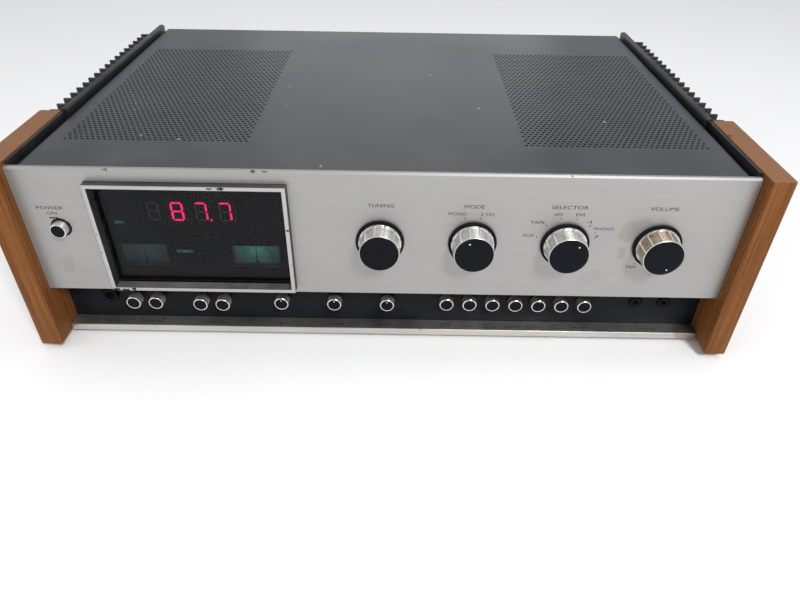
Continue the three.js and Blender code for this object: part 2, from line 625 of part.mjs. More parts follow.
function inputJacks() {
  const block = rearBlock(REAR_BLOCKS[1], 12);
  const start = REAR_FACE + 1;
  const end = COVER_BACK + REAR_OUT - 2;
  const sockets = [0, 1, 2, 3, 4, 5, 6].flatMap((i) => [40, 60].map((z) => turnedY(
    [[0, start], [4.2, start], [4.2, end], [0, end]], 73 + i * 20, z, 10)));
  const wells = [0, 1, 2, 3, 4, 5, 6].flatMap((i) => [40, 60].map((z) =>
    barY(1.7, REAR_FACE - 6, end + 1, 73 + i * 20, z, 6)));
  return cut(join(block, ...sockets), ...wells);
}

function aerialTerminals() {
  const block = rearBlock(REAR_BLOCKS[2], 8);
  const screws = [0, 1, 2, 3].map((i) => barY(4, REAR_FACE, COVER_BACK + 6, 130 + i * 20, 106, 16));
  return join(block, ...screws);
}

function cordGland() {
  const { x, z, neck } = GLAND;
  const bore = 3.8;
  return turnedY([
    [bore, REAR_FRONT - 6], [neck, REAR_FRONT - 6], [neck, REAR_FACE + GAP], [neck + 3, REAR_FACE + GAP],
    [neck + 3, REAR_FACE + 3], [neck + 1, COVER_BACK + REAR_OUT], [bore, COVER_BACK + REAR_OUT],
    [bore, REAR_FRONT - 6],
  ], x, z, 24);
}

// ---------------------------------------------------------------- build
place('front_panel', frontPanel(), finishes.aluminium);
place('window_frame', windowFrame(), finishes.bezel);
place('window_glass', windowGlass(), finishes.glass);
place('display_mask', displayMask(), finishes.blackMetal);
place('digit_display', digitDisplay(), finishes.plastic);
place('signal_meter', meterCase(METERS.signal), finishes.meter);
place('tuning_meter', meterCase(METERS.tuning), finishes.meter);
place('signal_needle', meterNeedle(METERS.signal), finishes.needle);
place('tuning_needle', meterNeedle(METERS.tuning), finishes.needle);

place('right_cheek', welded(cheek()), finishes.wood);
place('left_cheek', mirrored(cheek()), finishes.wood);
place('right_heatsink', heatsink(), finishes.sink);
place('left_heatsink', mirrored(heatsink()), finishes.sink);
place('top_cover', topCover(), finishes.cover);
place('chassis_pan', chassisPan(), finishes.steel);
place('rear_panel', rearPanel(), finishes.blackMetal);
place('chassis_plate', chassisPlate(), finishes.blackMetal);
place('label_ledge', labelLedge(), finishes.aluminium);

for (const [side, x] of [['left', -185], ['right', 185]]) {
  for (const [end, y] of [['front', 62], ['rear', 285]]) {
    place(`${end}_${side}_foot`, foot(x, y), finishes.rubber);
  }
}

const SWITCH_SHAFT_END = BEHIND_PLATE + 7.5;
const TUNING_SHAFT_END = BELT_FRONT + BELT_WIDTH + 4;
place('tuning_knob', largeKnob(KNOB_X.tuning, TUNING_SHAFT_END), finishes.chrome);
place('tuning_flywheel', tuningFlywheel(), finishes.steel);
for (const name of ['mode', 'selector', 'volume']) {
  place(`${name}_knob`, largeKnob(KNOB_X[name], SWITCH_SHAFT_END), finishes.chrome);
}
place('power_button', powerButton(), finishes.chrome);
for (const { name, x, face } of PUSH_BUTTONS) place(name, pushButton(x, face), finishes.chrome);
for (const { name, x, face } of TONE_KNOBS) place(name, toneKnob(x, face), finishes.chrome);

place('mode_switch', waferSwitch(KNOB_X.mode, 1), finishes.steel);
place('selector_switch', waferSwitch(KNOB_X.selector, 3), finishes.steel);
place('volume_control', rotaryControl(KNOB_X.volume, 12, 16), finishes.steel);
place('power_switch', powerSwitch(), finishes.plastic);
place('control_board', controlBoard(), finishes.board);
place('headphone_jack', panelJack(PHONES_X, 3.3, 6.2, 3, 22), finishes.blackMetal);
place('dub_jacks', dubJacks(), finishes.blackMetal);

place('power_transformer', powerTransformer(), finishes.steel);
place('left_filter_capacitor', filterCapacitor(-25, 262), finishes.capacitor);
place('right_filter_capacitor', filterCapacitor(22, 262), finishes.capacitor);
place('main_board', mainBoard(), finishes.board);
place('tuning_capacitor', tuningCapacitor(), finishes.steel);
place('capacitor_rotor', capacitorRotor(), finishes.steel);
place('tuning_belt', tuningBelt(), finishes.belt);

place('speaker_terminals', speakerTerminals(), finishes.plastic);
place('input_jacks', inputJacks(), finishes.steel);
place('aerial_terminals', aerialTerminals(), finishes.plastic);
place('cord_gland', cordGland(), finishes.rubber);

export default receiver;
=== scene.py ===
"""Stereo receiver with a digital tuning display: the look of each piece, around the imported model.

Lengths are millimetres unless a name says otherwise: x across from the middle, depth back from the
front panel's face, z up from the floor. Finished meshes are in metres.
"""

import logging
import math
from collections.abc import Iterable, Sequence
from dataclasses import dataclass, field
from enum import Enum

import bmesh
import bpy
from mathutils import Matrix, Vector


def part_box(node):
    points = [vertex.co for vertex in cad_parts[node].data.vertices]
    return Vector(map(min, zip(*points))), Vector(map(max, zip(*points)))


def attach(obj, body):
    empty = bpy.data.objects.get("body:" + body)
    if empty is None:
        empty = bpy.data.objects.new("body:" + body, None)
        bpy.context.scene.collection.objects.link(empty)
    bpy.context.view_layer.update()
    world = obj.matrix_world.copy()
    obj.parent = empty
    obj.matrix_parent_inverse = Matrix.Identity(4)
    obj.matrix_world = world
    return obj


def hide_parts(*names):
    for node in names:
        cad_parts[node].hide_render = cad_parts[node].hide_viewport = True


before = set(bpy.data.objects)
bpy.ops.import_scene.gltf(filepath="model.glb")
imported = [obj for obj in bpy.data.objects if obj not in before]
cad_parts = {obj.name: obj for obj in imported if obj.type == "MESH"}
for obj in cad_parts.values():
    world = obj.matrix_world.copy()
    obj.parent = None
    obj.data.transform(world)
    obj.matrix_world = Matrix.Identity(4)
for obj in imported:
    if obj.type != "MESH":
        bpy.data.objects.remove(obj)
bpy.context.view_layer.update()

log = logging.getLogger("receiver")

Point = tuple[float, float]
Place = tuple[float, float, float]
Colour = tuple[float, float, float]
Socket = bpy.types.NodeSocket

MM = 0.001
FACE_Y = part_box("front_panel")[0].y
CASE = "case"


class Axis(Enum):
    """A direction in the set: across it, back from the panel, or up."""

    ACROSS = 0
    DEPTH = 1
    UP = 2


def to_row(x: float, depth: float, z: float) -> Vector:
    """A point of the set, in metres in the row frame."""
    return Vector((x * MM, FACE_Y + depth * MM, z * MM))


@dataclass(frozen=True)
class Extent:
    """A CAD node's limits."""

    x0: float
    x1: float
    d0: float
    d1: float
    z0: float
    z1: float

    @classmethod
    def of(cls, node: str) -> "Extent":
        """Measures a CAD node.

        Args:
            node: the node's name.

        Returns:
            Its limits, with depths counted from the panel's face.
        """
        low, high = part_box(node)
        return cls(
            low.x / MM, high.x / MM,
            (low.y - FACE_Y) / MM, (high.y - FACE_Y) / MM,
            low.z / MM, high.z / MM,
        )

    @property
    def x(self) -> float:
        """Middle across."""
        return (self.x0 + self.x1) / 2

    @property
    def z(self) -> float:
        """Middle height."""
        return (self.z0 + self.z1) / 2


# ------------------------------------------------------------------ node trees


class Graph:
    """A node tree being wired."""

    def __init__(self, tree: bpy.types.NodeTree) -> None:
        """Takes the tree to add to."""
        self.tree = tree
        self.entry: bpy.types.Node | None = None
        self.exit: bpy.types.Node | None = None

    @classmethod
    def group(
        cls, name: str, kind: str, inputs: dict[str, tuple[str, object]], outputs: dict[str, str]
    ) -> "Graph":
        """Starts a node group.

        Args:
            name: the group's name.
            kind: the tree's type.
            inputs: socket type and first value of each input, by name.
            outputs: socket type of each output, by name.

        Returns:
            The group's graph, with its entry and exit nodes in place.
        """
        graph = cls(bpy.data.node_groups.new(name, kind))
        for label, (socket, value) in inputs.items():
            item = graph.tree.interface.new_socket(
                label, in_out="INPUT", socket_type=f"NodeSocket{socket}")
            if value is not None:
                item.default_value = value
        for label, socket in outputs.items():
            graph.tree.interface.new_socket(
                label, in_out="OUTPUT", socket_type=f"NodeSocket{socket}")
        graph.entry = graph.tree.nodes.new("NodeGroupInput")
        graph.exit = graph.tree.nodes.new("NodeGroupOutput")
        return graph

    def add(self, kind: str, inputs: dict | None = None, **settings: object) -> bpy.types.Node:
        """Adds a node.

        Args:
            kind: the node's type.
            inputs: values or sockets for its inputs, by name or number.
            settings: attributes of the node.

        Returns:
            The new node.
        """
        node = self.tree.nodes.new(kind)
        for key, value in settings.items():
            setattr(node, key, value)
        for key, value in (inputs or {}).items():
            self.feed(node.inputs[key], value)
        return node

    def feed(self, socket: Socket, value: object) -> None:
        """Links a socket into another, or sets its value."""
        if isinstance(value, bpy.types.NodeSocket):
            self.tree.links.new(value, socket)
        else:
            socket.default_value = value

    def math(self, operation: str, *values: object, clamp: bool = False) -> Socket:
        """Adds a Math node and returns its output."""
        inputs = dict(enumerate(values))
        return self.add("ShaderNodeMath", inputs, operation=operation, use_clamp=clamp).outputs[0]

    def mix(self, factor: object, low: object, high: object) -> Socket:
        """Adds a colour Mix node and returns its output."""
        def rgba(value: object) -> object:
            """Gives a plain colour its alpha."""
            return value if isinstance(value, bpy.types.NodeSocket) else (*value, 1.0)

        inputs = {0: factor, 6: rgba(low), 7: rgba(high)}
        return self.add("ShaderNodeMix", inputs, data_type="RGBA").outputs[2]

    def span(self, value: object, from_low: float, from_high: float,
             to_low: object = 0.0, to_high: object = 1.0) -> Socket:
        """Adds a clamped Map Range node and returns its output."""
        inputs = {0: value, 1: from_low, 2: from_high, 3: to_low, 4: to_high}
        return self.add("ShaderNodeMapRange", inputs, clamp=True).outputs[0]

    def use(self, group: "Graph", **inputs: object) -> bpy.types.NodeOutputs:
        """Places a node group and returns its outputs."""
        node = self.tree.nodes.new("ShaderNodeGroup")
        node.node_tree = group.tree
        for key, value in inputs.items():
            self.feed(node.inputs[key], value)
        return node.outputs


# ------------------------------------------------------------------ effects shared by finishes


def drift_group() -> Graph:
    """Slow wandering of a value over a surface, with finer breaks in it."""
    g = Graph.group("drift", "ShaderNodeTree",
                    {"Vector": ("Vector", None), "Scale": ("Float", 40.0)}, {"Value": "Float"})
    wide = g.add("ShaderNodeTexNoise", {"Vector": g.entry.outputs[0], "Scale": g.entry.outputs[1],
                                        "Detail": 5.0, "Roughness": 0.6})
    g.feed(g.exit.inputs[0], g.span(wide.outputs[0], 0.3, 0.7))
    return g


def streak_group() -> Graph:
    """Fine lines of brushed metal or wood: noise squeezed by a scale on each axis."""
    g = Graph.group("streaks", "ShaderNodeTree",
                    {"Vector": ("Vector", None), "Stretch": ("Vector", (20.0, 20.0, 2500.0))},
                    {"Value": "Float"})
    moved = g.add("ShaderNodeVectorMath", {0: g.entry.outputs[0], 1: g.entry.outputs[1]},
                  operation="MULTIPLY")
    lines = g.add("ShaderNodeTexNoise",
                  {"Vector": moved.outputs[0], "Scale": 1.0, "Detail": 4.0, "Roughness": 0.65})
    g.feed(g.exit.inputs[0], g.span(lines.outputs[0], 0.25, 0.75))
    return g


def speck_group() -> Graph:
    """Scattered small specks: a share of the cells of a Voronoi pattern hold one."""
    g = Graph.group("specks", "ShaderNodeTree",
                    {"Vector": ("Vector", None), "Scale": ("Float", 300.0),
                     "Size": ("Float", 0.2), "Share": ("Float", 0.1)}, {"Mask": "Float"})
    vector, scale, size, share = g.entry.outputs[:4]
    cells = g.add("ShaderNodeTexVoronoi", {"Vector": vector, "Scale": scale})
    chosen = g.add("ShaderNodeSeparateColor", {0: cells.outputs["Color"]})
    held = g.math("LESS_THAN", chosen.outputs[0], share)
    spread = g.math("MULTIPLY", size, chosen.outputs[1])
    near = g.math("LESS_THAN", cells.outputs["Distance"], spread)
    g.feed(g.exit.inputs[0], g.math("MULTIPLY", held, near))
    return g


def scratch_group() -> Graph:
    """Hair scratches: broken, stretched cell borders."""
    g = Graph.group("scratches", "ShaderNodeTree",
                    {"Vector": ("Vector", None), "Scale": ("Float", 25.0),
                     "Width": ("Float", 0.006)}, {"Mask": "Float"})
    vector, scale, width = g.entry.outputs[:3]
    turned = g.add("ShaderNodeMapping", {"Vector": vector, "Rotation": (0.3, 0.5, 0.7),
                                         "Scale": (0.2, 1.0, 1.6)})
    cells = g.add("ShaderNodeTexVoronoi", {"Vector": turned.outputs[0], "Scale": scale},
                  feature="DISTANCE_TO_EDGE")
    line = g.math("LESS_THAN", cells.outputs["Distance"], width)
    breaks = g.add("ShaderNodeTexNoise", {"Vector": vector, "Scale": scale, "Detail": 2.0})
    g.feed(g.exit.inputs[0], g.math("MULTIPLY", line, g.span(breaks.outputs[0], 0.5, 0.6)))
    return g


def edge_group() -> Graph:
    """Worn edges: where the surface turns within a small radius, broken up by noise."""
    g = Graph.group("edge_wear", "ShaderNodeTree",
                    {"Vector": ("Vector", None), "Radius": ("Float", 0.0006),
                     "Amount": ("Float", 0.5)}, {"Mask": "Float"})
    vector, radius, amount = g.entry.outputs[:3]
    rounded = g.add("ShaderNodeBevel", {"Radius": radius}, samples=4)
    plain = g.add("ShaderNodeNewGeometry")
    turn = g.add("ShaderNodeVectorMath", {0: rounded.outputs[0], 1: plain.outputs["Normal"]},
                 operation="DOT_PRODUCT")
    near = g.span(turn.outputs["Value"], 0.98, 0.8)
    breaks = g.add("ShaderNodeTexNoise", {"Vector": vector, "Scale": 260.0, "Detail": 5.0})
    kept = g.math("GREATER_THAN", g.math("MULTIPLY", breaks.outputs[0], amount), 0.28)
    g.feed(g.exit.inputs[0], g.math("MULTIPLY", near, kept))
    return g


def dust_and_shade_group() -> Graph:
    """Dust that settles on faces turned upwards; given a near-black colour, as on the ledge, it is
    painted shade on them instead.
    """
    g = Graph.group("dust_and_shade", "ShaderNodeTree",
                    {"Vector": ("Vector", None), "Amount": ("Float", 0.2)}, {"Mask": "Float"})
    vector, amount = g.entry.outputs[:2]
    normal = g.add("ShaderNodeSeparateXYZ",
                   {0: g.add("ShaderNodeNewGeometry").outputs["Normal"]})
    up = g.span(normal.outputs[2], 0.4, 1.0)
    patches = g.add("ShaderNodeTexNoise", {"Vector": vector, "Scale": 24.0, "Detail": 6.0})
    g.feed(g.exit.inputs[0], g.math("MULTIPLY", g.math("MULTIPLY", up, amount),
                                    g.span(patches.outputs[0], 0.35, 0.7)))
    return g


DRIFT = drift_group()
STREAKS = streak_group()
SPECKS = speck_group()
SCRATCHES = scratch_group()
EDGE_WEAR = edge_group()
DUST_AND_SHADE = dust_and_shade_group()


# ------------------------------------------------------------------ finishes


SCRATCH_SCALE = 30.0
SCRATCH_WIDTH = 0.004
SPECK_SCALE = 260.0
SPECK_SIZE = 0.22
FLICKER_SCALE = 260.0
DIM_SHARE = 0.3                     # a glow's dimmest patches, as a share of its brightest
STAIN_RAGGED = 60.0                 # scales of the noise that breaks the marks' outlines
CHIP_RAGGED = 900.0


@dataclass(frozen=True)
class Mark:
    """A local chip, stain or scuff: its middle, its radius and its stretch across."""

    x: float
    depth: float
    z: float
    radius: float
    strength: float = 1.0
    stretch: float = 1.0


@dataclass(frozen=True)
class Finish:
    """How a surface looks, and how it has aged. Colours are linear."""

    name: str
    slot: str
    colour: Colour
    roughness: float = 0.5
    metallic: float = 0.0
    specular: float = 0.5
    drift: float = 0.15
    drift_scale: float = 40.0
    grain: float = 0.01              # height of the fine surface texture
    grain_scale: float = 1500.0
    streak: float = 0.0              # share by which brushed lines change the colour
    stretch: Place = (20.0, 20.0, 2500.0)
    worn: Colour = (0.35, 0.34, 0.32)
    wear: float = 0.0
    wear_radius: float = 0.6
    # dust on upward faces; a near-black dust colour, as on the ledge, makes it painted shade
    dust_and_shade: float = 0.0
    dust_and_shade_colour: Colour = (0.42, 0.40, 0.36)
    scratches: float = 0.0
    specks: float = 0.0
    speck_colour: Colour = (0.5, 0.49, 0.46)
    chips: tuple[Mark, ...] = ()
    chip_colour: Colour = (0.01, 0.01, 0.01)
    stains: tuple[Mark, ...] = ()
    stain_colour: Colour = (0.16, 0.12, 0.06)
    glow: Colour | None = None
    glow_strength: float = 0.0

    def material(self) -> bpy.types.Material:
        """Builds the material once and returns it."""
        name = f"{self.name}_look"       # never the name of one of the CAD's own materials
        known = bpy.data.materials.get(name)
        if known:
            return known
        made = bpy.data.materials.new(name)
        made.use_nodes = True
        g = Graph(made.node_tree)
        shader = g.tree.nodes["Principled BSDF"]
        coords = g.add("ShaderNodeTexCoord").outputs["Object"]
        wander = g.use(DRIFT, Vector=coords, Scale=self.drift_scale)[0]
        colour, rough, height = self.surface(g, coords, wander)
        colour, rough = self.aged(g, coords, colour, rough)
        g.feed(shader.inputs["Base Color"], colour)
        g.feed(shader.inputs["Roughness"], rough)
        shader.inputs["Metallic"].default_value = self.metallic
        shader.inputs["Specular IOR Level"].default_value = self.specular
        bump = g.add("ShaderNodeBump", {"Height": height, "Distance": self.grain * MM,
                                        "Strength": 1.0})
        g.feed(shader.inputs["Normal"], bump.outputs[0])
        self.light(g, shader, coords)
        return made

    def surface(self, g: Graph, coords: Socket, wander: Socket) -> tuple[Socket, Socket, Socket]:
        """Colour, roughness and height of the new surface.

        Args:
            g: the material's graph.
            coords: object coordinates.
            wander: a value that drifts over the surface.

        Returns:
            The three sockets.
        """
        dark = tuple(c * (1 - self.drift) for c in self.colour)
        light = tuple(min(1.0, c * (1 + self.drift)) for c in self.colour)
        colour = g.mix(wander, dark, light)
        rough = g.span(wander, 0, 1, self.roughness * (1 - self.drift),
                       self.roughness * (1 + self.drift))
        fine = g.add("ShaderNodeTexNoise", {"Vector": coords, "Scale": self.grain_scale,
                                            "Detail": 3.0}).outputs[0]
        if not self.streak:
            return colour, rough, fine
        lines = g.use(STREAKS, Vector=coords, Stretch=self.stretch)[0]
        shade = tuple(c * (1 - self.streak) for c in self.colour)
        colour = g.mix(g.math("MULTIPLY", lines, 0.6), colour, shade)
        rough = g.math("ADD", rough, g.span(lines, 0, 1, -0.05, 0.05))
        return colour, rough, g.math("ADD", g.math("MULTIPLY", lines, 0.8),
                                     g.math("MULTIPLY", fine, 0.2))

    def aged(self, g: Graph, coords: Socket, colour: Socket,
             rough: Socket) -> tuple[Socket, Socket]:
        """Adds wear, scratches, specks, marks and dust to a colour and a roughness; the ledge's
        near-black dust is painted shade.
        """
        masks = []
        if self.stains:
            mask = marks_mask(g, coords, self.stains, STAIN_RAGGED)
            masks.append((mask, self.stain_colour, 0.1))
        if self.wear:
            mask = g.use(EDGE_WEAR, Vector=coords, Radius=self.wear_radius * MM,
                         Amount=self.wear)[0]
            masks.append((mask, self.worn, 0.0))
        if self.scratches:
            mask = g.use(SCRATCHES, Vector=coords, Scale=SCRATCH_SCALE, Width=SCRATCH_WIDTH)[0]
            masks.append((g.math("MULTIPLY", mask, self.scratches), self.worn, 0.0))
        if self.specks:
            mask = g.use(SPECKS, Vector=coords, Scale=SPECK_SCALE, Size=SPECK_SIZE,
                         Share=self.specks)[0]
            masks.append((mask, self.speck_colour, 0.2))
        if self.chips:
            mask = marks_mask(g, coords, self.chips, CHIP_RAGGED)
            masks.append((mask, self.chip_colour, 0.2))
        if self.dust_and_shade:
            mask = g.use(DUST_AND_SHADE, Vector=coords, Amount=self.dust_and_shade)[0]
            masks.append((mask, self.dust_and_shade_colour, 0.3))
        for mask, over, rougher in masks:
            colour = g.mix(mask, colour, over)
            if rougher:
                rough = g.math("ADD", rough, g.math("MULTIPLY", mask, rougher), clamp=True)
        return colour, rough

    def light(self, g: Graph, shader: bpy.types.Node, coords: Socket) -> None:
        """Makes the surface shine where it has a glow."""
        if self.glow is None:
            return
        dim = tuple(c * DIM_SHARE for c in self.glow)
        flicker = g.use(DRIFT, Vector=coords, Scale=FLICKER_SCALE)[0]
        g.feed(shader.inputs["Emission Color"], g.mix(flicker, dim, self.glow))
        shader.inputs["Emission Strength"].default_value = self.glow_strength


def marks_mask(g: Graph, coords: Socket, marks: Sequence[Mark], ragged: float) -> Socket:
    """Mask of a list of local marks with ragged outlines.

    Args:
        g: the material's graph.
        coords: object coordinates.
        marks: where the marks are.
        ragged: scale of the noise that breaks their outlines.

    Returns:
        The mask's socket.
    """
    rough = g.add("ShaderNodeTexNoise", {"Vector": coords, "Scale": ragged, "Detail": 4.0})
    total: Socket | None = None
    for mark in marks:
        middle = to_row(mark.x, mark.depth, mark.z)
        away = g.add("ShaderNodeVectorMath", {0: coords, 1: middle}, operation="SUBTRACT")
        squeeze = (1 / mark.stretch, 1.0, 1.0)
        even = g.add("ShaderNodeVectorMath", {0: away.outputs[0], 1: squeeze},
                     operation="MULTIPLY")
        length = g.add("ShaderNodeVectorMath", {0: even.outputs[0]}, operation="LENGTH")
        share = g.math("DIVIDE", length.outputs["Value"], mark.radius * MM)
        uneven = g.math("ADD", share, g.span(rough.outputs[0], 0.3, 0.7, -0.6, 0.6))
        soft = g.span(uneven, 1.0, 0.55, 0.0, mark.strength)
        total = soft if total is None else g.math("MAXIMUM", total, soft)
    return total


@dataclass(frozen=True)
class Oak(Finish):
    """Oiled oak with upright grain and open pores; faces turned upwards are painted paler, as
    painted light from above.
    """

    late: Colour = (0.100, 0.033, 0.008)
    early: Colour = (0.27, 0.108, 0.028)

    def surface(self, g: Graph, coords: Socket, wander: Socket) -> tuple[Socket, Socket, Socket]:
        """Growth rings, streaks and pores, all drawn out along the board's height; upward faces get
        painted light that makes them paler.
        """
        rings = g.use(STREAKS, Vector=coords, Stretch=(430.0, 400.0, 9.0))[0]
        fibre = g.use(STREAKS, Vector=coords, Stretch=(1500.0, 1300.0, 45.0))[0]
        pore_space = g.add("ShaderNodeMapping", {"Vector": coords, "Scale": (1.0, 0.9, 0.13)})
        pores = g.use(SPECKS, Vector=pore_space.outputs[0], Scale=2300.0, Size=0.55, Share=0.34)[0]
        body = g.mix(g.span(rings, 0.15, 0.85), self.late, self.early)
        body = g.mix(g.math("MULTIPLY", wander, 0.5), body, self.colour)
        lined = g.mix(g.math("MULTIPLY", fibre, 0.35), body, self.late)
        holed = g.mix(g.math("MULTIPLY", pores, 0.5), lined, (0.05, 0.018, 0.008))
        normal = g.add("ShaderNodeSeparateXYZ",
                       {0: g.add("ShaderNodeNewGeometry").outputs["Normal"]})
        # Painted light: faces turned upwards are mixed towards a pale tan, standing in for the
        # light from above that they catch.
        top = g.span(normal.outputs[2], 0.6, 0.95, 0.0, 0.62)
        tops_painted_light = g.mix(top, holed, (0.27, 0.145, 0.085))
        rough = g.span(fibre, 0, 1, self.roughness - 0.08, self.roughness + 0.12)
        height = g.math("SUBTRACT", g.math("MULTIPLY", fibre, 0.5), pores)
        return tops_painted_light, rough, height


@dataclass(frozen=True)
class SmokedGlass(Finish):
    """Dark tinted window with faint wipe marks in its gloss."""

    def light(self, g: Graph, shader: bpy.types.Node, coords: Socket) -> None:
        """Lets light through."""
        shader.inputs["Transmission Weight"].default_value = 1.0
        shader.inputs["IOR"].default_value = 1.24


@dataclass(frozen=True)
class MeterCard(Finish):
    """Printed meter face, lit from above."""

    top: float = 0.0                # height of its brightest line
    middle: float = 0.0             # place across of its brightest line
    reach: float = 17.5
    half: float = 16.0
    floor_share: float = 0.3        # its brightness at the bottom, as a share of the top's

    def light(self, g: Graph, shader: bpy.types.Node, coords: Socket) -> None:
        """A glow that falls off down the card and to its sides."""
        place = g.add("ShaderNodeSeparateXYZ", {0: coords})
        height = g.span(place.outputs[2], (self.top - self.reach) * MM, self.top * MM)
        fall = g.span(g.math("POWER", height, 1.6), 0.0, 1.0, self.floor_share, 1.0)
        aside = g.math("ABSOLUTE", g.math("SUBTRACT", place.outputs[0], self.middle * MM))
        near = g.span(aside, 2 * MM, 9 * MM, 1.0, 0.38)
        side = g.span(aside, (self.half - 2.5) * MM, self.half * MM, 1.0, 0.0)
        low = g.span(place.outputs[2], (self.top - self.reach) * MM,
                     (self.top - self.reach + 2.5) * MM)
        amount = g.math("MULTIPLY", g.math("MULTIPLY", fall, near), g.math("MULTIPLY", side, low))
        g.feed(shader.inputs["Emission Color"], g.mix(amount, (0.0, 0.0, 0.0), self.glow))
        shader.inputs["Emission Strength"].default_value = self.glow_strength


PANEL_CHIPS = (
    Mark(-174.0, 0.6, 142.1, 1.0, 0.7, 2.0), Mark(-81.5, 0.6, 142.2, 1.2, 0.9, 1.5),
    Mark(-74.0, 0.6, 142.2, 0.8, 0.8, 2.5), Mark(118.0, 0.4, 142.0, 0.9, 0.6),
)
PANEL_STAINS = (
    Mark(162.0, 0.0, 103.0, 7.0, 0.17, 0.8), Mark(161.0, 0.0, 86.0, 5.0, 0.2, 0.7),
    Mark(186.0, 0.0, 73.0, 6.0, 0.14, 2.2), Mark(203.0, 0.0, 80.0, 4.0, 0.12),
    Mark(170.0, 0.0, 110.0, 4.0, 0.12, 1.4), Mark(-218.0, 0.0, 68.0, 9.0, 0.16, 0.8),
    Mark(142.0, 0.0, 66.0, 6.0, 0.08, 1.4), Mark(-208.0, 0.0, 60.0, 12.0, 0.07, 1.6),
)
TRIM_CHIPS = (
    Mark(-186.5, -5.4, 53.4, 1.1, 1.0, 3.0), Mark(-180.0, -5.4, 53.2, 1.0, 1.0, 3.4),
    Mark(-174.5, -5.4, 53.9, 1.3, 1.0, 1.3), Mark(-109.0, -5.4, 132.6, 0.7, 1.0, 3.6),
    Mark(-102.0, -5.4, 132.7, 1.2, 1.0, 2.4), Mark(-62.6, -5.4, 103.0, 1.1, 1.0, 0.8),
    Mark(-188.6, -5.4, 98.0, 0.5, 1.0, 0.6), Mark(-188.7, -5.4, 84.0, 0.5, 1.0, 0.6),
    Mark(-188.4, -5.4, 71.0, 0.6, 1.0, 0.6), Mark(-62.2, -5.4, 76.0, 0.5, 1.0),
)
COVER_CHIPS = (
    Mark(-168.0, 53.0, 142.7, 1.1), Mark(-141.0, 47.0, 142.7, 0.9), Mark(160.0, 90.0, 142.7, 1.4),
    Mark(-192.0, 112.0, 142.7, 0.8), Mark(20.0, 180.0, 142.7, 0.7), Mark(-40.0, 9.0, 142.7, 0.8),
)

ALUMINIUM = Finish("brushed_aluminium", "panel_aluminium", (0.37, 0.365, 0.355), 0.40, 0.6,
                   drift=0.05, drift_scale=9.0, grain=0.006, streak=0.16,
                   stretch=(14.0, 40.0, 2600.0), scratches=0.12, worn=(0.3, 0.29, 0.28),
                   chips=PANEL_CHIPS, stains=PANEL_STAINS)
# On the ledge, the heavy near-black dust layer is painted shade that darkens its top face against
# its bright front lip.
LEDGE_METAL = Finish("ledge_aluminium", "panel_aluminium", (0.66, 0.64, 0.61), 0.30, 0.92,
                     drift=0.12, drift_scale=16.0, grain=0.006, streak=0.2,
                     stretch=(10.0, 2200.0, 2200.0), scratches=0.3, worn=(0.2, 0.18, 0.16),
                     dust_and_shade=0.75, dust_and_shade_colour=(0.035, 0.034, 0.036),
                     stains=(Mark(27.0, 9.0, 9.0, 1.4, 0.5, 1.5), Mark(228.0, 12.0, 9.0, 9.0, 0.5)))
TRIM = Finish("trim_metal", "bezel_metal", (0.52, 0.51, 0.50), 0.34, 1.0, drift=0.08,
              streak=0.1, scratches=0.2, worn=(0.2, 0.2, 0.2), chips=TRIM_CHIPS,
              wear=0.42, wear_radius=0.3)
FRAME_BLACK = Finish("frame_black", "bezel_metal", (0.026, 0.027, 0.033), 0.34, 0.0,
                     drift=0.3, scratches=0.3, worn=(0.25, 0.25, 0.25), wear=0.5, dust_and_shade=0.06)
GLASS = SmokedGlass("smoked_glass", "window_glass", (0.36, 0.38, 0.42), 0.03, drift=0.08,
                    grain=0.0004, specular=0.5)
COVER = Finish("cover_grey", "cover_paint", (0.021, 0.024, 0.031), 0.31, 0.0, specular=0.68,
               drift=0.2, drift_scale=12.0, grain=0.02, grain_scale=2200.0, specks=0.004,
               dust_and_shade=0.05, scratches=0.12, worn=(0.1, 0.1, 0.11), chips=COVER_CHIPS,
               chip_colour=(0.45, 0.44, 0.41))
SINK = Finish("heatsink_anodised", "heatsink_black", (0.009, 0.010, 0.012), 0.40, 0.0,
              specular=0.35, drift=0.25, streak=0.3, stretch=(900.0, 12.0, 900.0),
              worn=(0.12, 0.12, 0.13), wear=0.55, wear_radius=0.5, dust_and_shade=0.1, specks=0.006)
OAK = Oak("oiled_oak", "oiled_wood", (0.20, 0.070, 0.017), 0.52, drift=0.2, drift_scale=18.0,
          grain=0.05, specular=0.13, wear=0.45, wear_radius=1.2, worn=(0.28, 0.13, 0.055),
          chips=(Mark(239.0, 60.0, 145.6, 2.2, 0.9, 0.8), Mark(-238.5, 20.0, 143.0, 1.0, 0.8)),
          chip_colour=(0.08, 0.03, 0.012))
BLACK_METAL = Finish("black_metal", "black_metal", (0.008, 0.009, 0.012), 0.42, 0.0,
                     specular=0.12, drift=0.2, grain=0.012, dust_and_shade=0.03, specks=0.001)
MASK_BLACK = Finish("mask_black", "black_metal", (0.003, 0.004, 0.005), 0.6, 0.0,
                    specular=0.0, drift=0.2, grain=0.001)
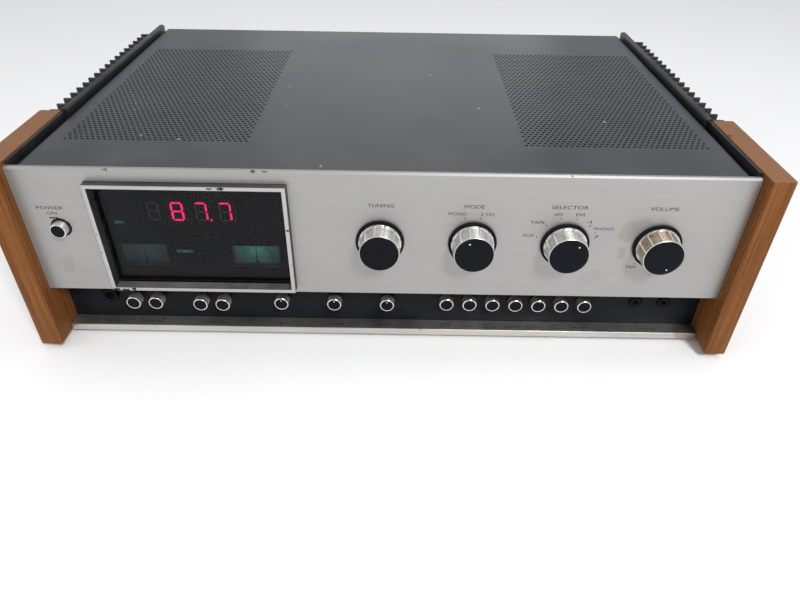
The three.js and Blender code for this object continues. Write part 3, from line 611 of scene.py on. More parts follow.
# Grey layer on the window frame's bottom inner face: painted reflection of bright light in the
# glossy black frame, with some real dust and scratches on it.
SILL_REFLECTION = Finish("window_sill", "bezel_metal", (0.13, 0.12, 0.12), 0.4, 0.3, drift=0.3,
              drift_scale=90.0, grain=0.004, scratches=0.3, worn=(0.3, 0.28, 0.27), dust_and_shade=0.2)
STEEL = Finish("plated_steel", "plated_steel", (0.36, 0.35, 0.32), 0.38, 0.9, drift=0.2,
               grain=0.01, scratches=0.2, worn=(0.2, 0.19, 0.17), dust_and_shade=0.1)
CHROME = Finish("knob_metal", "knob_metal", (0.66, 0.645, 0.61), 0.30, 0.72, drift=0.15,
                drift_scale=160.0, grain=0.002, scratches=0.15, worn=(0.3, 0.29, 0.27),
                specks=0.02, speck_colour=(0.2, 0.17, 0.13))
GRIMY = Finish("knob_metal_grimy", "knob_metal", (0.42, 0.33, 0.24), 0.34, 0.7, drift=0.45,
               drift_scale=210.0, grain=0.004, scratches=0.2, worn=(0.2, 0.15, 0.1),
               specks=0.05, speck_colour=(0.12, 0.07, 0.03))
KNURL_METAL = Finish("knurl_metal", "knob_metal", (0.50, 0.45, 0.39), 0.36, 0.55, drift=0.3,
                     drift_scale=300.0, grain=0.006, specks=0.04, speck_colour=(0.06, 0.05, 0.04))
RING_METAL = Finish("ring_metal", "knob_metal", (0.74, 0.72, 0.68), 0.22, 1.0, drift=0.1,
                    drift_scale=200.0, grain=0.002)
SATIN_BLACK = Finish("satin_black", "black_plastic", (0.004, 0.005, 0.008), 0.34, 0.0,
                     specular=0.08, drift=0.2, drift_scale=120.0, grain=0.004, dust_and_shade=0.02,
                     scratches=0.06, worn=(0.08, 0.08, 0.08), specks=0.002)
PLASTIC = Finish("moulded_black", "black_plastic", (0.016, 0.016, 0.018), 0.5, drift=0.2,
                 grain=0.02, dust_and_shade=0.08)
RUBBER = Finish("foot_rubber", "black_rubber", (0.016, 0.016, 0.016), 0.8, drift=0.3,
                grain=0.05, grain_scale=900.0, dust_and_shade=0.2, specks=0.02)
BOARD = Finish("circuit_board", "circuit_board", (0.16, 0.10, 0.035), 0.5, drift=0.25,
               grain=0.01, dust_and_shade=0.3)
SLEEVE = Finish("capacitor_sleeve", "sleeve_blue", (0.03, 0.06, 0.15), 0.35, drift=0.12,
                grain=0.004, dust_and_shade=0.2)
BELT = Finish("belt_rubber", "belt_black", (0.02, 0.02, 0.019), 0.75, drift=0.2, grain=0.02)
INK = Finish("panel_ink", "black_plastic", (0.015, 0.014, 0.014), 0.55, drift=0.3,
             drift_scale=900.0, grain=0.002, specular=0.3)
PALE_INK = Finish("pale_ink", "panel_aluminium", (0.55, 0.55, 0.53), 0.6, drift=0.2,
                  drift_scale=700.0, grain=0.002)
DOT_WHITE = Finish("dot_white", "panel_aluminium", (0.80, 0.80, 0.78), 0.5, drift=0.1,
                   drift_scale=900.0, grain=0.002)
NEEDLE = Finish("needle_red", "needle_red", (0.015, 0.005, 0.004), 0.5, drift=0.1, grain=0.002)
LIT = Finish("digit_lit", "needle_red", (0.25, 0.01, 0.03), 0.4, drift=0.1, grain=0.002,
             glow=(1.0, 0.005, 0.125), glow_strength=4.2)
UNLIT = Finish("digit_unlit", "black_plastic", (0.030, 0.022, 0.024), 0.4, drift=0.2,
               grain=0.002)
LEGEND = Finish("legend_glow", "meter_face", (0.05, 0.08, 0.07), 0.5, drift=0.2, grain=0.002,
                glow=(0.20, 0.55, 0.38), glow_strength=1.6)
RED_CAP = Finish("terminal_red", "needle_red", (0.35, 0.02, 0.015), 0.4, drift=0.15,
                 grain=0.01, dust_and_shade=0.1)
BRASS = Finish("contact_brass", "plated_steel", (0.60, 0.50, 0.33), 0.3, 1.0, drift=0.2,
               grain=0.004, dust_and_shade=0.05)


# ------------------------------------------------------------------ meshes


class Shape:
    """Closed solids being put together, in millimetres."""

    def __init__(self) -> None:
        """Starts empty."""
        self.bm = bmesh.new()

    @staticmethod
    def point(u: float, v: float, along: float, axis: Axis) -> Place:
        """A point from its two places across an axis and its place along it."""
        if axis is Axis.ACROSS:
            return (along, u, v)
        return (u, along, v) if axis is Axis.DEPTH else (u, v, along)

    def prism(self, outline: Sequence[Point], low: float, high: float,
              axis: Axis = Axis.DEPTH) -> "Shape":
        """Adds an outline swept straight along an axis.

        Args:
            outline: its corners: (x, z) for DEPTH, (depth, z) for ACROSS, (x, depth) for UP.
            low: where it starts along the axis.
            high: where it ends.
            axis: the direction of the sweep.

        Returns:
            This shape.
        """
        ends = [[self.bm.verts.new(self.point(u, v, at, axis)) for u, v in outline]
                for at in (low, high)]
        count = len(outline)
        for i in range(count):
            j = (i + 1) % count
            self.bm.faces.new((ends[0][i], ends[0][j], ends[1][j], ends[1][i]))
        self.bm.faces.new(ends[0][::-1])
        self.bm.faces.new(ends[1])
        return self

    def slab(self, x0: float, x1: float, d0: float, d1: float, z0: float, z1: float) -> "Shape":
        """Adds a rectangular block from its limits and returns this shape."""
        return self.prism([(x0, z0), (x1, z0), (x1, z1), (x0, z1)], d0, d1)

    def turned(self, profile: Sequence[Point], centre: Point = (0.0, 0.0),
               axis: Axis = Axis.DEPTH, segments: int = 48) -> "Shape":
        """Adds a profile turned about an axis.

        Args:
            profile: (radius, place along the axis) points. A radius of 0 is a pole, and a
                profile that ends where it starts is a ring.
            centre: the axis's place on the other two axes.
            axis: its direction.
            segments: faces round it.

        Returns:
            This shape.
        """
        closed = profile[0] == profile[-1]
        rings = []
        for radius, along in profile[:-1] if closed else profile:
            count = segments if radius > 1e-6 else 1
            angles = [2 * math.pi * i / segments for i in range(count)]
            rings.append([self.bm.verts.new(self.point(
                centre[0] + radius * math.cos(a), centre[1] + radius * math.sin(a), along, axis))
                for a in angles])
        for a, b in zip(rings, rings[1:] + (rings[:1] if closed else [])):
            for i in range(segments):
                j = (i + 1) % segments
                corners = [a[i % len(a)], a[j % len(a)], b[j % len(b)], b[i % len(b)]]
                unique = list(dict.fromkeys(corners))
                if len(unique) > 2:
                    self.bm.faces.new(unique)
        return self

    def border(self, outer: Sequence[float], inner: Sequence[float], d0: float,
               d1: float) -> "Shape":
        """Adds a rectangular frame.

        Args:
            outer: x0, x1, z0, z1 of its outside.
            inner: the same of its opening.
            d0: depth of its front.
            d1: depth of its back.

        Returns:
            This shape.
        """
        loops = []
        for limits, depth in ((outer, d0), (inner, d0), (inner, d1), (outer, d1)):
            x0, x1, z0, z1 = limits
            loops.append([self.bm.verts.new((x, depth, z))
                          for x, z in ((x0, z0), (x1, z0), (x1, z1), (x0, z1))])
        for a, b in zip(loops, loops[1:] + loops[:1]):
            for i in range(4):
                j = (i + 1) % 4
                self.bm.faces.new((a[i], a[j], b[j], b[i]))
        return self

    def flare(self, front: float, back: float, scale: float) -> "Shape":
        """Widens the piece about its own depth axis.

        Args:
            front: depth at which it keeps its size.
            back: depth at which it has grown.
            scale: its size there, as a share of its size at the front.

        Returns:
            This shape.
        """
        for vert in self.bm.verts:
            grow = 1.0 + (scale - 1.0) * (vert.co.y - front) / (back - front)
            vert.co.x, vert.co.z = vert.co.x * grow, vert.co.z * grow
        return self

    def soften(self, width: float, segments: int = 2, angle: float = 35.0) -> "Shape":
        """Rounds every edge sharper than an angle in degrees, and returns this shape."""
        bmesh.ops.recalc_face_normals(self.bm, faces=self.bm.faces)
        limit = math.radians(angle)
        edges = [e for e in self.bm.edges if e.is_manifold and e.calc_face_angle(0.0) > limit]
        bmesh.ops.bevel(self.bm, geom=edges, offset=width, segments=segments, profile=0.5,
                        affect="EDGES", clamp_overlap=True)
        return self

    def join(self, *others: "Shape") -> "Shape":
        """Takes in other shapes and returns this one."""
        for other in others:
            mesh = bpy.data.meshes.new("joined")
            other.bm.to_mesh(mesh)
            self.bm.from_mesh(mesh)
            bpy.data.meshes.remove(mesh)
        return self

    def take(self, mesh: bpy.types.Mesh, matrix: Matrix) -> "Shape":
        """Takes in a mesh after a matrix, and returns this shape."""
        mesh.transform(matrix)
        self.bm.from_mesh(mesh)
        return self

    def mesh(self, name: str, local: bool = False) -> bpy.types.Mesh:
        """Closes the shape into a mesh.

        Args:
            name: the mesh's name.
            local: True leaves it round its own origin, for copies to be placed.

        Returns:
            The mesh, in metres, with its faces outwards.
        """
        bmesh.ops.remove_doubles(self.bm, verts=self.bm.verts, dist=0.0005)
        bmesh.ops.recalc_face_normals(self.bm, faces=self.bm.faces)
        shift = Matrix() if local else Matrix.Translation((0.0, FACE_Y, 0.0))
        bmesh.ops.transform(self.bm, matrix=shift @ Matrix.Scale(MM, 4), verts=self.bm.verts)
        made = bpy.data.meshes.new(name)
        self.bm.to_mesh(made)
        self.bm.free()
        return smoothed(made)


def smoothed(mesh: bpy.types.Mesh, angle: float = 32.0) -> bpy.types.Mesh:
    """Shades a mesh smooth up to an angle in degrees, and returns it."""
    mesh.shade_smooth()
    mesh.set_sharp_from_angle(angle=math.radians(angle))
    return mesh


def add_piece(name: str, made: Shape | bpy.types.Mesh, finish: Finish, body: str = CASE,
              stands_for: Sequence[str] = ()) -> bpy.types.Object:
    """Puts a finished piece on its body.

    Args:
        name: the piece's name.
        made: its shape or its mesh.
        finish: its surface.
        body: the CAD body it moves with.
        stands_for: the CAD nodes it replaces.

    Returns:
        The piece's object.
    """
    mesh = made.mesh(name) if isinstance(made, Shape) else made
    mesh.name = name
    mesh.materials.clear()
    mesh.materials.append(finish.material())
    piece = bpy.data.objects.new(name, mesh)
    bpy.context.scene.collection.objects.link(piece)
    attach(piece, body)
    if stands_for:
        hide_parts(*stands_for)
    log.info("%s: %d faces, on %s", name, len(mesh.polygons), body)
    return piece


def arc(centre: Point, radius: float, start: float, end: float, steps: int = 6) -> list[Point]:
    """Points of an arc, with its angles in degrees."""
    angles = [math.radians(start + (end - start) * i / steps) for i in range(steps + 1)]
    return [(centre[0] + radius * math.cos(a), centre[1] + radius * math.sin(a)) for a in angles]


# ------------------------------------------------------------------ geometry trees


def placing_tree(name: str, inputs: dict[str, tuple[str, object]]) -> Graph:
    """Starts a geometry tree that places copies of a part and gives them a finish."""
    common = {"Geometry": ("Geometry", None), "Part": ("Object", None),
              "Finish": ("Material", None)}
    return Graph.group(name, "GeometryNodeTree", common | inputs, {"Geometry": "Geometry"})


def end_tree(g: Graph, geometry: Socket) -> Graph:
    """Ends a tree in real, finished geometry, and returns it."""
    real = g.add("GeometryNodeRealizeInstances", {0: geometry})
    dressed = g.add("GeometryNodeSetMaterial",
                    {"Geometry": real.outputs[0], "Material": g.entry.outputs["Finish"]})
    g.feed(g.exit.inputs[0], dressed.outputs[0])
    return g


def part_of(g: Graph, name: str = "Part") -> Socket:
    """The geometry of a tree's object input."""
    return g.add("GeometryNodeObjectInfo", {"Object": g.entry.outputs[name]}).outputs["Geometry"]


def row_tree() -> Graph:
    """Copies of a part along a line: fins, slats, wafers, screws in a row."""
    g = placing_tree("row", {"Count": ("Int", 2), "Start": ("Vector", None),
                             "Step": ("Vector", None)})
    entry = g.entry.outputs
    line = g.add("GeometryNodeMeshLine", {"Count": entry["Count"],
                                          "Start Location": entry["Start"],
                                          "Offset": entry["Step"]}, mode="OFFSET")
    placed = g.add("GeometryNodeInstanceOnPoints",
                   {"Points": line.outputs[0], "Instance": part_of(g)})
    return end_tree(g, placed.outputs[0])


def wheel_tree() -> Graph:
    """Copies of a part turned about a depth axis: ribs, knurls."""
    g = placing_tree("wheel", {"Count": ("Int", 12), "Centre": ("Vector", None),
                               "First": ("Float", 0.0)})
    entry = g.entry.outputs
    line = g.add("GeometryNodeMeshLine", {"Count": entry["Count"],
                                          "Start Location": entry["Centre"],
                                          "Offset": (0.0, 0.0, 0.0)}, mode="OFFSET")
    step = g.math("DIVIDE", 2 * math.pi, entry["Count"])
    index = g.add("GeometryNodeInputIndex").outputs[0]
    angle = g.math("ADD", g.math("MULTIPLY", index, step), entry["First"])
    euler = g.add("ShaderNodeCombineXYZ", {"Y": angle})
    turn = g.add("FunctionNodeEulerToRotation", {0: euler.outputs[0]})
    placed = g.add("GeometryNodeInstanceOnPoints",
                   {"Points": line.outputs[0], "Instance": part_of(g),
                    "Rotation": turn.outputs[0]})
    return end_tree(g, placed.outputs[0])


def scatter_tree() -> Graph:
    """Copies of a part at the carrier's points: screws, sockets."""
    g = placing_tree("scatter", {})
    placed = g.add("GeometryNodeInstanceOnPoints",
                   {"Points": g.entry.outputs["Geometry"], "Instance": part_of(g)})
    return end_tree(g, placed.outputs[0])


def perforation_tree() -> Graph:
    """A sheet of staggered cells, each with its hole, given the sheet's thickness."""
    g = placing_tree("perforation", {
        "Filler": ("Object", None), "Columns": ("Int", 33), "Row Pairs": ("Int", 27),
        "Pitch Across": ("Float", 0.0), "Pitch Back": ("Float", 0.0),
        "Middle": ("Vector", None), "Thickness": ("Float", 0.0)})
    entry = g.entry.outputs
    joined = g.add("GeometryNodeJoinGeometry")
    across, back = entry["Pitch Across"], entry["Pitch Back"]
    fewer = g.math("SUBTRACT", entry["Columns"], 1)
    wide = g.math("MULTIPLY", fewer, across)
    narrow = g.math("SUBTRACT", wide, across)
    ends = g.math("ADD", wide, g.math("MULTIPLY", across, 0.5))
    deep = g.math("MULTIPLY", g.math("MULTIPLY", entry["Row Pairs"], back), 2.0)
    shallow = g.math("SUBTRACT", deep, g.math("MULTIPLY", back, 2.0))
    more_rows = g.math("ADD", entry["Row Pairs"], 1)
    for part, count, rows, size_x, size_y in (
            ("Part", entry["Columns"], more_rows, wide, deep),
            ("Part", fewer, entry["Row Pairs"], narrow, shallow),
            ("Filler", 2, entry["Row Pairs"], ends, shallow)):
        grid = g.add("GeometryNodeMeshGrid", {"Size X": size_x, "Size Y": size_y,
                                              "Vertices X": count, "Vertices Y": rows})
        moved = g.add("GeometryNodeSetPosition",
                      {"Geometry": grid.outputs[0], "Offset": entry["Middle"]})
        cells = g.add("GeometryNodeInstanceOnPoints",
                      {"Points": moved.outputs[0], "Instance": part_of(g, part)})
        g.tree.links.new(cells.outputs[0], joined.inputs[0])
    real = g.add("GeometryNodeRealizeInstances", {0: joined.outputs[0]})
    sheet = g.add("GeometryNodeMergeByDistance", {"Geometry": real.outputs[0],
                                                  "Distance": 1e-6})
    down = g.add("ShaderNodeCombineXYZ", {"Z": g.math("MULTIPLY", entry["Thickness"], -1.0)})
    under = g.add("GeometryNodeExtrudeMesh", {"Mesh": sheet.outputs[0], "Offset": down.outputs[0],
                                              "Offset Scale": 1.0, "Individual": False})
    turned = g.add("GeometryNodeFlipFaces", {0: under.outputs[0]})
    both = g.add("GeometryNodeJoinGeometry")
    g.tree.links.new(sheet.outputs[0], both.inputs[0])
    g.tree.links.new(turned.outputs[0], both.inputs[0])
    closed = g.add("GeometryNodeMergeByDistance", {"Geometry": both.outputs[0],
                                                   "Distance": 1e-6})
    return end_tree(g, closed.outputs[0])


ROW = row_tree()
WHEEL = wheel_tree()
SCATTER = scatter_tree()
PERFORATION = perforation_tree()


def grown(tree: Graph, finish: Finish, parts: dict[str, Shape],
          places: Iterable[Place] = (), **inputs: object) -> bpy.types.Mesh:
    """Runs a geometry tree and keeps the result as a plain mesh.

    Args:
        tree: the tree.
        finish: the surface of the result.
        parts: a shape for each object input, modelled round its own origin.
        places: the carrier's points, in millimetres.
        inputs: values of the other inputs, in metres, with _ for a space in their names.

    Returns:
        The mesh.
    """
    collection = bpy.context.scene.collection
    carried = bpy.data.meshes.new("carrier")
    carried.from_pydata([to_row(*p) for p in places], [], [])
    carrier = bpy.data.objects.new("carrier", carried)
    collection.objects.link(carrier)
    helpers = {}
    for name, shape in parts.items():
        helpers[name] = bpy.data.objects.new("helper", shape.mesh("helper", local=True))
        collection.objects.link(helpers[name])
    values = {k.replace("_", " "): v for k, v in inputs.items()}
    values |= helpers | {"Finish": finish.material()}
    modifier = carrier.modifiers.new("grow", "NODES")
    modifier.node_group = tree.tree
    for item in tree.tree.interface.items_tree:
        if item.in_out == "INPUT" and item.name in values:
            modifier[item.identifier] = values[item.name]
    graph = bpy.context.evaluated_depsgraph_get()
    mesh = bpy.data.meshes.new_from_object(carrier.evaluated_get(graph), depsgraph=graph)
    carrier.modifiers.remove(modifier)
    for helper in (carrier, *helpers.values()):
        bpy.data.objects.remove(helper)
    return smoothed(mesh)


# ------------------------------------------------------------------ lettering


@dataclass(frozen=True)
class Label:
    """A printed word: its middle, capital height and, where it matters, its width."""

    text: str
    x: float
    at: float                       # height on a panel, or depth on a ledge
    height: float = 2.3
    width: float = 0.0
    flip: bool = False              # True reads from behind the set


WIDE = 1.22                         # the lettering's stretch across
INK_THICK = 0.05


def lettering(labels: Iterable[Label], depth: float | None = None,
              level: float | None = None) -> Shape:
    """Solid letters lying on a surface.

    Args:
        labels: the words.
        depth: depth of an upright surface that carries them.
        level: height of a flat surface that carries them instead.

    Returns:
        One shape with all the letters.
    """
    shape = Shape()
    for label in labels:
        curve = bpy.data.curves.new("word", "FONT")
        curve.body = label.text
        curve.extrude = 0.1
        curve.resolution_u = 3
        holder = bpy.data.objects.new("word", curve)
        bpy.context.scene.collection.objects.link(holder)
        graph = bpy.context.evaluated_depsgraph_get()
        mesh = bpy.data.meshes.new_from_object(holder.evaluated_get(graph), depsgraph=graph)
        bpy.data.objects.remove(holder)
        bpy.data.curves.remove(curve)
        low = [min(v.co[i] for v in mesh.vertices) for i in range(3)]
        high = [max(v.co[i] for v in mesh.vertices) for i in range(3)]
        scale = label.height / (high[1] - low[1])
        scale_x = label.width / (high[0] - low[0]) if label.width else scale * WIDE
        centred = Matrix.Translation(
            (-(low[0] + high[0]) / 2, -(low[1] + high[1]) / 2, 0.0))
        sized = Matrix.Diagonal((scale_x, scale, INK_THICK / 0.2, 1.0))
        if level is not None:
            placed = Matrix.Translation((label.x, label.at, level))
        else:
            upright = Matrix.Rotation(math.radians(90), 4, "X")
            about = Matrix.Rotation(math.pi if label.flip else 0.0, 4, "Z")
            placed = Matrix.Translation((label.x, depth, label.at)) @ about @ upright
        shape.take(mesh, placed @ sized @ centred)
        bpy.data.meshes.remove(mesh)
    return shape


# ------------------------------------------------------------------ sub-assemblies


# word, the knob it is placed from, distance across, height, capital height, width
PANEL_WORDS = (
    ("POWER", "", -216.6, 114.4, 2.4, 17.5), ("ON", "", -216.5, 110.5, 2.2, 6.4),
    ("TUNING", "tuning", 0.7, 119.8, 2.5, 17.0), ("MODE", "mode", -0.6, 120.1, 2.6, 13.0),
    ("MONO", "mode", -11.3, 114.7, 2.3, 11.5), ("2 CH", "mode", 8.2, 114.7, 2.3, 8.6),
    ("SELECTOR", "selector", -0.7, 120.6, 2.6, 23.8), ("AM", "selector", -7.7, 115.3, 2.2, 5.4),
    ("FM", "selector", 6.7, 115.3, 2.2, 5.4), ("TAPE", "selector", -20.3, 109.3, 2.2, 9.6),
    ("AUX", "selector", -25.0, 99.4, 2.2, 7.6), ("PHONO", "selector", 24.5, 105.1, 2.2, 12.4),
    ("1", "selector", 14.6, 110.2, 2.0, 0.8), ("2", "selector", 20.6, 99.6, 2.0, 1.8),
    ("VOLUME", "volume", -1.5, 120.6, 2.5, 18.9), ("MIN", "volume", -13.3, 75.4, 2.2, 6.4),
)


@dataclass
class Panel:
    """Brushed front panel with its printed legends."""

    dot_radius: float = 0.45
    dial_radius: float = 20.0
    knobs: dict[str, Extent] = field(default_factory=lambda: {
        n: Extent.of(f"{n}_knob") for n in ("tuning", "mode", "selector", "volume")})

    def build(self) -> None:
        """Dresses the panel and prints it."""
        dress("front_panel", ALUMINIUM)
        add_piece("panel_lettering", lettering(self.words(), depth=0.0), INK)
        add_piece("panel_dots", self.dots(), INK)

    def words(self) -> list[Label]:
        """The words on the panel."""
        return [Label(text, (self.knobs[knob].x if knob else 0.0) + across, z, height, width)
                for text, knob, across, z, height, width in PANEL_WORDS]

    def dots(self) -> Shape:
        """Dots round the switches, the dash by the power button and the arc that joins inputs."""
        shape = Shape()

        def dot(x: float, z: float, radius: float = self.dot_radius) -> None:
            """Adds one dot."""
            shape.turned([(0, -0.03), (radius, -0.03), (radius, 0.02), (0, 0.02)], (x, z),
                         segments=14)

        dial = self.knobs["selector"]
        for degrees in (-75, -45, -15, 15, 45, 75):
            turn = math.radians(degrees)
            dot(dial.x + self.dial_radius * math.sin(turn),
                dial.z + self.dial_radius * math.cos(turn))
        for dx in (-6.0, 4.0):
            dot(self.knobs["mode"].x + dx, 111.6)
        dot(self.knobs["volume"].x - 11.3, self.knobs["volume"].z - 15.0)
        for i in range(5):
            turn = math.radians(38 + i * 8.5)
            reach = self.dial_radius + 1.2
            x, z = dial.x + reach * math.sin(turn), dial.z + reach * math.cos(turn)
            shape.slab(x - 0.55, x + 0.55, -0.03, 0.02, z - 0.22, z + 0.22)
        shape.slab(-219.1, -213.5, -0.03, 0.02, 106.6, 107.5)
        return shape


def dress(node: str, finish: Finish) -> None:
    """Gives a CAD node that keeps its shape a procedural finish."""
    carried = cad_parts[node]
    for slot in carried.material_slots:
        slot.material = finish.material()
    log.info("%s: carried over in %s", node, finish.name)


@dataclass
class DisplayWindow:
    """Framed window with the digits and the two meters behind smoked glass."""

    rim: float = 2.5
    trim: float = 0.35
    digit_middles: tuple[float, ...] = (-153.4, -137.5, -121.6, -105.6)
    digit_text: str = " 877"
    digit_half: float = 4.2
    digit_low: float = 101.2
    digit_high: float = 115.4
    bar: float = 1.35
    display_depth: float = 9.2
    card_depth: float = 11.6
    legend_depth: float = 8.35
    outer: Extent = field(default_factory=lambda: Extent.of("window_frame"))
    display: Extent = field(default_factory=lambda: Extent.of("digit_display"))

    def build(self) -> None:
        """Builds the frame, the digits, the meters and the legends."""
        self.frame()
        dress("window_glass", GLASS)
        dress("display_mask", MASK_BLACK)
        self.digits()
        for name, top in (("signal", 0.34), ("tuning", 1.1)):
            self.meter(name, top)
        words = [Label("FM", -178.0, 99.7, 2.2, 5.6), Label("STEREO", -138.2, 77.4, 2.0, 11.0)]
        add_piece("window_legends", lettering(words, depth=self.legend_depth), LEGEND)

    def frame(self) -> None:
        """The black frame, the bright strip on its front, and a thin grey layer on its bottom inner
        face that is painted reflection.
        """
        o = self.outer
        outside = (o.x0, o.x1, o.z0, o.z1)
        inside = (o.x0 + self.rim, o.x1 - self.rim, o.z0 + self.rim, o.z1 - self.rim)
        body = Shape().border(outside, inside, o.d0 + self.trim, o.d1).soften(0.12, 1)
        add_piece("window_frame_body", body, FRAME_BLACK, stands_for=["window_frame"])
        strip = Shape().border(outside, inside, o.d0, o.d0 + self.trim).soften(0.1, 2)
        add_piece("window_frame_strip", strip, TRIM)
        # Painted reflection: a thin grey layer over the black frame's bottom inner face.
        low = inside[2]
        reflection_layer = Shape().slab(inside[0] + 0.1, inside[1] - 0.1, o.d0 + 0.5, 1.9, low, low + 0.12)
        add_piece("window_sill", reflection_layer, SILL_REFLECTION)

    def segments(self, middle: float) -> dict[str, list[Point]]:
        """Outlines of the seven segments of a digit, by letter, from its middle."""
        x0, x1 = middle - self.digit_half, middle + self.digit_half
        z0, z1 = self.digit_low, self.digit_high
        zm, b, gap = (z0 + z1) / 2, self.bar, 0.25
        half = b / 2

        def level(z: float) -> list[Point]:
            """A bar that lies across the digit."""
            return [(x0 + half + gap, z), (x0 + b + gap, z - half), (x1 - b - gap, z - half),
                    (x1 - half - gap, z), (x1 - b - gap, z + half), (x0 + b + gap, z + half)]

        def upright(x: float, low: float, high: float) -> list[Point]:
            """A bar that stands."""
            return [(x, low + gap), (x + half, low + half + gap), (x + half, high - half - gap),
                    (x, high - gap), (x - half, high - half - gap), (x - half, low + half + gap)]

        low, high = z0 + half, z1 - half
        left, right = x0 + half, x1 - half
        return {"a": level(high), "g": level(zm), "d": level(low),
                "f": upright(left, zm, high), "b": upright(right, zm, high),
                "e": upright(left, low, zm), "c": upright(right, low, zm)}

    def digits(self) -> None:
        """Four display modules, their lit and unlit bars and the decimal point."""
        lit_for = {" ": "", "8": "abcdefg", "7": "abc"}
        housings, lit, dark = Shape(), Shape(), Shape()
        d0 = self.display_depth
        for middle, sign in zip(self.digit_middles, self.digit_text):
            block = Shape().slab(middle - 7.6, middle + 7.6, d0, self.display.d1,
                                 self.display.z0, self.display.z1)
            housings.join(block.soften(0.3))
            for letter, outline in self.segments(middle).items():
                target = lit if letter in lit_for[sign] else dark
                target.prism(outline, d0 - 0.15, d0 + 0.1)
            point = lit if middle == self.digit_middles[2] else dark
            point.turned([(0, d0 - 0.15), (0.85, d0 - 0.15), (0.85, d0 + 0.1), (0, d0 + 0.1)],
                         (middle + self.digit_half + 1.7, self.digit_low + 0.8), segments=16)
        add_piece("digit_modules", housings, MASK_BLACK, stands_for=["digit_display"])
        add_piece("digit_bars_lit", lit, LIT)
        add_piece("digit_bars_dark", dark, UNLIT)

    def meter(self, name: str, strength: float) -> None:
        """One edgewise meter.

        Args:
            name: signal or tuning.
            strength: how brightly its card is lit.
        """
        case = Extent.of(f"{name}_meter")
        wall = 0.6
        outside = (case.x0, case.x1, case.z0, case.z1)
        inside = (case.x0 + wall, case.x1 - wall, case.z0 + wall, case.z1 - wall)
        d = self.card_depth
        shell = Shape().border(outside, inside, case.d0 + 0.1, d + 1.5)
        shell.join(Shape().slab(case.x0, case.x1, d + 1.5, case.d1, case.z0, case.z1))
        add_piece(f"{name}_meter_case", shell, PLASTIC, stands_for=[f"{name}_meter"])
        card = MeterCard(f"{name}_card", "meter_face", (0.05, 0.08, 0.085), 0.5, drift=0.15,
                         grain=0.004, glow=(0.10, 0.42, 0.25) if strength > 1
                         else (0.16, 0.34, 0.36), glow_strength=strength, top=case.z1,
                         middle=case.x, half=(case.x1 - case.x0) / 2)
        face = Shape().slab(inside[0], inside[1], d, d + 1.5, inside[2], inside[3])
        add_piece(f"{name}_meter_card", face, card)
        scale = Shape()
        pivot = case.z0 + 3.2
        for i in range(-5, 6):
            turn = math.radians(i * 9)
            long = 1.3 if i % 5 == 0 else 0.7
            x, z = case.x + 12.0 * math.sin(turn), pivot + 12.0 * math.cos(turn)
            scale.slab(x - 0.22, x + 0.22, d - 0.05, d + 0.05, z - long, z + long)
        word = "SIGNAL" if name == "signal" else "TUNING"
        scale.join(lettering([Label(word, case.x, case.z0 + 6.0, 1.4, 8.5)], depth=d - 0.01))
        add_piece(f"{name}_meter_scale", scale, INK)
        self.needle(name, case.x, pivot)

    def needle(self, name: str, x: float, pivot: float) -> None:
        """The needle: a tapered pointer, its hub and a short tail."""
        cad = Extent.of(f"{name}_needle")
        d = cad.d0 + 0.5
        outline = [(x - 0.5, pivot), (x + 0.5, pivot), (x + 0.12, cad.z1), (x - 0.12, cad.z1)]
        pointer = Shape().prism(outline, d, d + 0.35)
        hub = Shape().turned([(0, cad.d0), (1.1, cad.d0), (1.4, cad.d0 + 0.4),
                              (1.4, cad.d0 + 1.6), (0, cad.d0 + 1.6)], (x, pivot), segments=24)
        add_piece(f"{name}_pointer", pointer.join(hub), NEEDLE, f"{name}_needle",
                  stands_for=[f"{name}_needle"])


